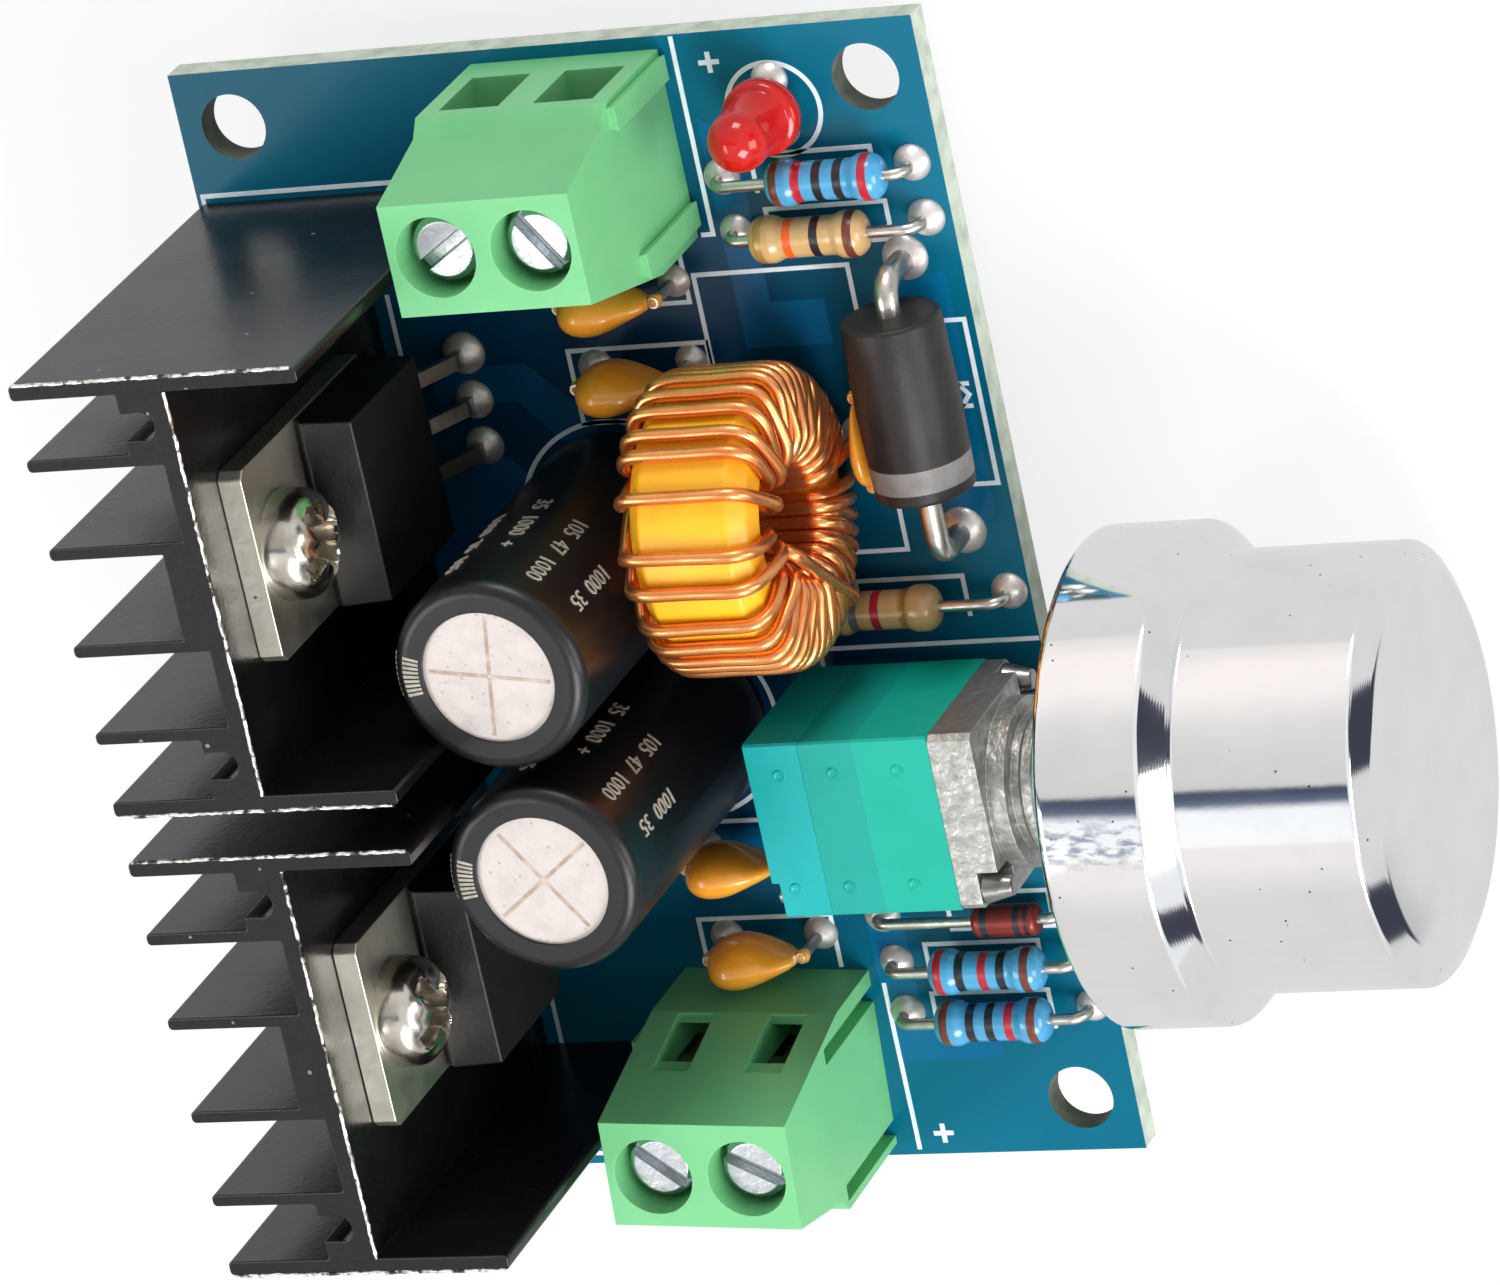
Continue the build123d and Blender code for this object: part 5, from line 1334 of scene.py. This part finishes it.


# the can's top, and its pressed vent cross, with painted brownish shade along its grooves
def makeLid(side):
    centre = middle(side + "_capacitor_can")
    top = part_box(side + "_capacitor_can")[1].z / mm
    rise, radius, width = capacitor["lidRise"], capacitor["lidRadius"], capacitor["ventWidth"]
    lines = []
    for step in range(4):
        way = math.radians(90 * step + capacitor["ventTurns"][side])
        ends = [(centre.x + reach * math.cos(way), centre.y + reach * math.sin(way))
                for reach in (width / 2, capacitor["ventLength"])]
        lines.append(printedLine(ends, width, top - capacitor["ventSink"],
                                 top + rise + capacitor["ventRise"]))
    depth = capacitor["lidDepth"]
    lid = turned(side + "Lid", [(-depth, 0), (-depth, radius), (rise, radius), (rise, 0)],
                 (centre.x, centre.y, top), (0, 0, 1), 72)
    addPiece(side + "_can_lid", lid, ["canTop"])
    addPiece(side + "_vent_lines", joinMeshes(side + "Vent", lines, sharp=30), ["ventPaintedShade"])


for side in ("output", "input"):
    makeSleevePrint(side)
for side in ("output", "input"):
    makeLid(side)
print("capacitors ready")


# ---- lacquer that has run down the ceramic capacitors' leads
lacquer = {
    "over": 0.06, "length": 0.7, "radius": 0.39, "sides": 24,
    "neck": [(0, 0), (0.04, 0.45), (0.14, 0.8), (0.3, 1.0)],     # mm down, share of the radius
    "tail": [(0.45, 1.0), (0.75, 0.9), (1.0, 0.76), (1.0, 0)],   # shares of length and radius
}


def makeLacquer():
    length, radius = lacquer["length"], lacquer["radius"]
    rows = [(down, share * radius) for down, share in lacquer["neck"]]
    rows += [(down * length, share * radius) for down, share in lacquer["tail"]]
    drops = []
    for low, high in solidBoxes("ceramic_capacitor_leads"):
        centre = (low + high) / 2 / mm
        start = (centre.x, centre.y, high.z / mm + lacquer["over"])
        drops.append(turned("drop", rows, start, (0, 0, -1), lacquer["sides"], sharp=60))
    addPiece("lacquered_leads", outward(joinMeshes("lacqueredLeads", drops, sharp=60)),
             ["ceramicOrange"])


makeLacquer()
print("lacquer ready")


# ---- banded parts: turned bodies whose colour bands are part of the turning
# cuts a profile where bands begin and end; each band is (from, to, slot) along the body
def bandedRows(rows, bands):
    cuts = sorted({edge for low, high, _ in bands for edge in (low, high)})
    filled = []
    for (along, radius), (nextAlong, nextRadius) in zip(rows, rows[1:]):
        filled.append((along, radius))
        for cut in cuts:
            if along < cut < nextAlong:
                share = (cut - along) / (nextAlong - along)
                filled.append((cut, radius + (nextRadius - radius) * share))
    filled.append(rows[-1])
    result = []
    for (along, radius), (ahead, _) in zip(filled, filled[1:] + filled[-1:]):
        halfway = (along + ahead) / 2
        slot = next((slot for low, high, slot in bands if low <= halfway <= high), 0)
        result.append((along, radius, slot))
    return result


resistor = {
    "half": 3.1, "cap": 1.2, "waist": 1.0, "bandWidth": 0.46, "sides": 40,
    "endRadius": 0.42, "endLength": 0.75, "shoulder": 1.15, "slope": 0.65, "steps": 10,
    "bandNames": ["bandBrown", "bandRed", "bandBlack", "bandOrange", "bandGold", "bandGrey"],
    "blue": [
        # place in Y, then each band's middle and colour, from the left
        (23.4, [(-2.45, "bandBrown"), (-1.3, "bandRed"), (-0.2, "bandBlack"),
                (0.9, "bandBlack"), (2.3, "bandRed")]),
        (-19.85, [(-2.4, "bandRed"), (-1.25, "bandBlack"), (0.0, "bandRed"),
                  (1.0, "bandBlack"), (2.35, "bandBrown")]),
        (-22.75, [(-2.4, "bandBrown"), (-1.0, "bandBlack"), (0.05, "bandBlack"),
                  (1.1, "bandRed"), (2.4, "bandBrown")]),
    ],
    "beige": [
        (20.5, [(-2.4, "bandGold"), (-0.9, "bandOrange"), (0.55, "bandBlack"),
                (2.4, "bandBrown")]),
        (0.35, [(-2.3, "bandGrey"), (-1.3, "bandGrey"), (-0.1, "bandRed"), (1.4, "bandGold")]),
    ],
}


# rounded ends that swell over the lead caps and sink to a waist
def dumbbellRows():
    half, cap, count = resistor["half"], resistor["cap"], resistor["steps"]
    endLength, endRadius = resistor["endLength"], resistor["endRadius"]
    right = []
    for step in range(count, 0, -1):
        share = step / count
        eased = share * share * (3 - 2 * share)
        right.append((half - resistor["shoulder"] - resistor["slope"] * share,
                      cap + (resistor["waist"] - cap) * eased))
    for step in range(count + 1):
        angle = math.pi / 2 * step / count
        right.append((half - endLength + endLength * math.sin(angle),
                      endRadius + (cap - endRadius) * math.cos(angle)))
    right.append((half, 0.0))
    return [(-along, radius) for along, radius in reversed(right)] + right


def makeResistors(node, finishName, rows):
    centres = [(low + high) / 2 / mm for low, high in solidBoxes(node)]
    reach = resistor["bandWidth"] / 2
    meshes = []
    for y, bands in rows:
        centre = min(centres, key=lambda place: abs(place.y - y))
        cuts = [(at - reach, at + reach, 1 + resistor["bandNames"].index(name))
                for at, name in bands]
        meshes.append(turned("resistor", bandedRows(dumbbellRows(), cuts), centre, (1, 0, 0),
                             resistor["sides"]))
    addPiece(node + "_finished", joinMeshes(node, meshes, sharp=60),
             [finishName] + resistor["bandNames"], replaces=(node,))


makeResistors("metal_film_resistors", "resistorBlue", resistor["blue"])
makeResistors("carbon_film_resistors", "resistorBeige", resistor["beige"])

powerDiode = {"half": 4.7, "radius": 2.65, "draft": 0.1, "edge": 0.28, "edgeSteps": 5,
              "parting": 0.0001, "sides": 72, "bands": [(-4.0, -2.75, 1)]}


def makePowerDiode():
    half, radius, edge = powerDiode["half"], powerDiode["radius"], powerDiode["edge"]
    end = radius - powerDiode["draft"] - edge
    rows = [(half, 0.0), (half, end)]
    for step in range(1, powerDiode["edgeSteps"] + 1):
        turn = math.pi / 2 * step / powerDiode["edgeSteps"]
        rows.append((half - edge + edge * math.cos(turn), end + edge * math.sin(turn)))
    rows.append((half * 0.5, radius - powerDiode["draft"] / 2))
    middleRows = [(0.0, radius), (powerDiode["parting"], radius)]
    rows = [(-along, far) for along, far in rows] + middleRows + rows[::-1]
    mesh = turned("powerDiode", bandedRows(rows, powerDiode["bands"]),
                  middle("power_diode_body"), (0, 1, 0), powerDiode["sides"], sharp=40)
    addPiece("power_diode_finished", mesh, ["diodeBody", "diodeBand"],
             replaces=("power_diode_body",))


makePowerDiode()

glassDiode = {"half": 1.8, "radius": 0.85, "end": 0.55, "shoulder": 0.4, "sides": 40,
              "bands": [(-1.25, -0.85, 1), (0.55, 0.9, 1), (1.15, 1.35, 1)]}


def makeGlassDiode():
    half, radius, end = glassDiode["half"], glassDiode["radius"], glassDiode["end"]
    shoulder = glassDiode["shoulder"]
    rows = [(-half, 0.0), (-half, radius * end)]
    for step in range(7):
        turn = math.pi / 2 * step / 6
        rows.append((-half + shoulder - shoulder * math.cos(turn),
                     radius * end + radius * (1 - end) * math.sin(turn)))
    rows += [(-along, far) for along, far in reversed(rows)]
    mesh = turned("glassDiode", bandedRows(rows, glassDiode["bands"]),
                  middle("glass_diode_body"), (1, 0, 0), glassDiode["sides"])
    addPiece("glass_diode_finished", mesh, ["diodeCore", "bandBlack"],
             replaces=("glass_diode_body",))


makeGlassDiode()

lampLens = {
    "radius": 1.55, "height": 5.3, "domeSteps": 14, "sides": 56,
    "flange": 1.95, "flangeHeight": 1.0, "lowerEdge": 0.12, "upperEdge": 0.15,
    "foot": [(0.03, 0.1), (0.14, 0.0)],      # over the flange, and wider than the lens
}


def makeLampLens():
    centre = middle("led_lens")
    base = (centre.x, centre.y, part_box("led_lens")[0].z / mm)
    radius, flange, rise = lampLens["radius"], lampLens["flange"], lampLens["flangeHeight"]
    lower, upper, count = lampLens["lowerEdge"], lampLens["upperEdge"], lampLens["domeSteps"]
    rows = [(0.0, 0.0), (0.0, flange - lower), (lower, flange), (rise - upper, flange),
            (rise, flange - upper)]
    rows += [(rise + over, radius + wider) for over, wider in lampLens["foot"]]
    turns = [math.pi / 2 * step / count for step in range(count)]
    rows += [(lampLens["height"] - radius + radius * math.sin(turn), radius * math.cos(turn))
             for turn in turns]
    rows.append((lampLens["height"], 0.0))
    mesh = turned("ledLens", rows, base, (0, 0, 1), lampLens["sides"], sharp=50)
    addPiece("led_lens_finished", mesh, ["ledPlastic"], replaces=("led_lens",))


makeLampLens()
print("resistors, diodes and lamp ready")


# ---- knob: one turned piece of polished aluminium, with fine turning rings and small pits
knob = {
    "flange": 12.5, "flangeLength": 5.4, "coneLength": 1.15, "coneFoot": 0.25, "footLength": 0.12,
    "grip": 10.95, "length": 16.4, "frontDrop": 1.4, "frontLength": 0.75, "rearEdge": 0.3,
    "bore": 3.3, "boreDepth": 0.6, "boreTaper": 0.2, "ease": 0.22, "sides": 160,
    "ringPitch": 0.12, "ringDepth": 0.0004, "ringStrength": 0.6,
    # a patch of streaky scratches on the flange, tinted blue-grey as a painted reflection: height
    # over the shaft, reach from the rear, soft edges, mm
    "scratchReflectFrom": 0.6, "scratchReflectTo": 3.4, "scratchReflectSoft": 1.0, "scratchReflectReach": 7.0, "scratchReflectReachSoft": 2.0,
    "scratchReflectColor": (96, 112, 140), "scratchReflectTurn": (0.3, 0.0, 0.9), "scratchReflectScale": (1100, 3200, 3200),
    "scratchReflectShare": (0.46, 0.62), "scratchReflectMost": 0.7,
}


def makeKnobFinish(rear):
    material = finish("knobAluminium", (242, 242, 242), (230, 231, 233), 300, 0.6, rough=0.07,
                      roughPatch=0.12, metal=1.0, grainScale=700, grainDepth=0.004,
                      specks=(1250, 0.085, 0.3, (120, 114, 110)))
    tree = material.node_tree
    place = objectPlace(tree)

    # rings round the shaft, as a bump over the grain
    centred = addNode(tree, "ShaderNodeMapping",
                      {"Vector": place, "Location": (0, -rear.y * mm, -rear.z * mm)})
    flat = addNode(tree, "ShaderNodeVectorMath", {0: centred.outputs["Vector"], 1: (0, 1, 1)},
                   operation="MULTIPLY")
    far = addNode(tree, "ShaderNodeVectorMath", {0: flat.outputs["Vector"]},
                  operation="LENGTH")
    wave = calc(tree, "SINE", calc(tree, "MULTIPLY", far.outputs["Value"],
                                   2 * math.pi / (knob["ringPitch"] * mm)))
    normal = tree.nodes["Principled BSDF"].inputs["Normal"]
    rings = addNode(tree, "ShaderNodeBump",
                    {"Height": wave, "Distance": knob["ringDepth"] * mm,
                     "Strength": knob["ringStrength"], "Normal": normal.links[0].from_socket})
    tree.links.new(rings.outputs["Normal"], normal)

    # thin streak lines in the flange patch: scratches, tinted blue-grey as a painted reflection
    stretched = addNode(tree, "ShaderNodeMapping",
                        {"Vector": place, "Rotation": knob["scratchReflectTurn"],
                         "Scale": knob["scratchReflectScale"]})
    noise = addNode(tree, "ShaderNodeTexNoise",
                    {"Vector": stretched.outputs["Vector"], "Scale": 1.0, "Detail": 3.0})
    reflectionStreaks = mapped(tree, noise.outputs["Fac"], *knob["scratchReflectShare"], 0.0, knob["scratchReflectMost"])
    split = addNode(tree, "ShaderNodeSeparateXYZ", {"Vector": place}).outputs
    height = between(tree, split["Y"], (rear.y + knob["scratchReflectFrom"]) * mm,
                     (rear.y + knob["scratchReflectTo"]) * mm, knob["scratchReflectSoft"] * mm)
    near = between(tree, split["X"], -1.0, (rear.x + knob["scratchReflectReach"]) * mm,
                   knob["scratchReflectReachSoft"] * mm)
    patch = calc(tree, "MULTIPLY", height, near)
    tintBase(material, calc(tree, "MULTIPLY", reflectionStreaks, patch), paint(*knob["scratchReflectColor"]))
    return material


def makeKnob():
    centre = middle("adjusting_knob")
    rear = Vector((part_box("adjusting_knob")[0].x / mm, centre.y, centre.z))
    flange, grip, length = knob["flange"], knob["grip"], knob["length"]
    coneEnd = knob["flangeLength"] + knob["coneLength"]
    outline = [(0.0, knob["bore"]), (0.0, flange - knob["rearEdge"]),
               (knob["rearEdge"], flange), (knob["flangeLength"], flange),
               (coneEnd, grip + knob["coneFoot"]), (coneEnd + knob["footLength"], grip),
               (length - knob["frontLength"], grip), (length, grip - knob["frontDrop"]),
               (length, 0.0)]
    depth, bore = knob["boreDepth"], knob["bore"]
    rows = [(depth, 0.0), (depth, bore - knob["boreTaper"]), (0.0, bore)]
    for before, here, after in zip(outline, outline[1:], outline[2:]):
        rows += easedCorner(before, here, after, knob["ease"], 6)
    rows.append(outline[-1])
    mesh = turned("knob", rows, rear, (1, 0, 0), knob["sides"], sharp=50)
    addPiece("adjusting_knob_finished", mesh, [makeKnobFinish(rear)], body="knob",
             replaces=("adjusting_knob",))


makeKnob()
print("knob ready")


# ---- potentiometer: thread on the bushing and small moulded marks on the wafers
bushing = {"root": 3.48, "crest": 3.62, "inside": 3.2, "start": 3.6, "end": 0.4, "pitch": 0.6,
           "flank": 0.35, "flat": 0.6, "sides": 72}


def makeBushingThread():
    axis = middle("adjusting_knob")
    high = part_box("potentiometer_faceplate")[1].x / mm
    pitch, root, crest = bushing["pitch"], bushing["root"], bushing["crest"]
    along = high - bushing["start"]
    rows = [(along, bushing["inside"])]
    while along < high - bushing["end"]:
        rows += [(along, root), (along + pitch * bushing["flank"], crest),
                 (along + pitch * bushing["flat"], crest)]
        along += pitch
    rows += [(along, root), (along, bushing["inside"]), rows[0]]
    mesh = turned("thread", rows, (0, axis.y, axis.z), (1, 0, 0), bushing["sides"], sharp=30)
    addPiece("bushing_thread", mesh, ["castZinc"])


marks = {
    "radius": 0.36, "rise": 0.07, "sink": 0.1, "sides": 20,
    "places": [(-0.2, -3.2), (0.2, 3.0)],
    # height as a share of the rise, radius as a share of the radius
    "profile": [(0, 1.0), (1.0, 0.82), (0.7, 0.55), (0.2, 0.4), (0.5, 0)],
    "finishes": {"rear": "tealRear", "middle": "tealMiddle", "front": "tealFront"},
}


def makeWaferMarks(wafer, finishName):
    node = f"potentiometer_{wafer}_wafer"
    centre, top = middle(node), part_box(node)[1].z / mm
    radius, rise = marks["radius"], marks["rise"]
    rows = [(-marks["sink"], radius)]
    rows += [(up * rise, share * radius) for up, share in marks["profile"]]
    made = [turned("mark", rows, (centre.x + x, centre.y + y, top), (0, 0, 1), marks["sides"],
                   sharp=20) for x, y in marks["places"]]
    addPiece(wafer + "_wafer_marks", outward(joinMeshes(wafer + "Marks", made, sharp=30)),
             [finishName])


makeBushingThread()
for wafer, finishName in marks["finishes"].items():
    makeWaferMarks(wafer, finishName)
print("potentiometer details ready")
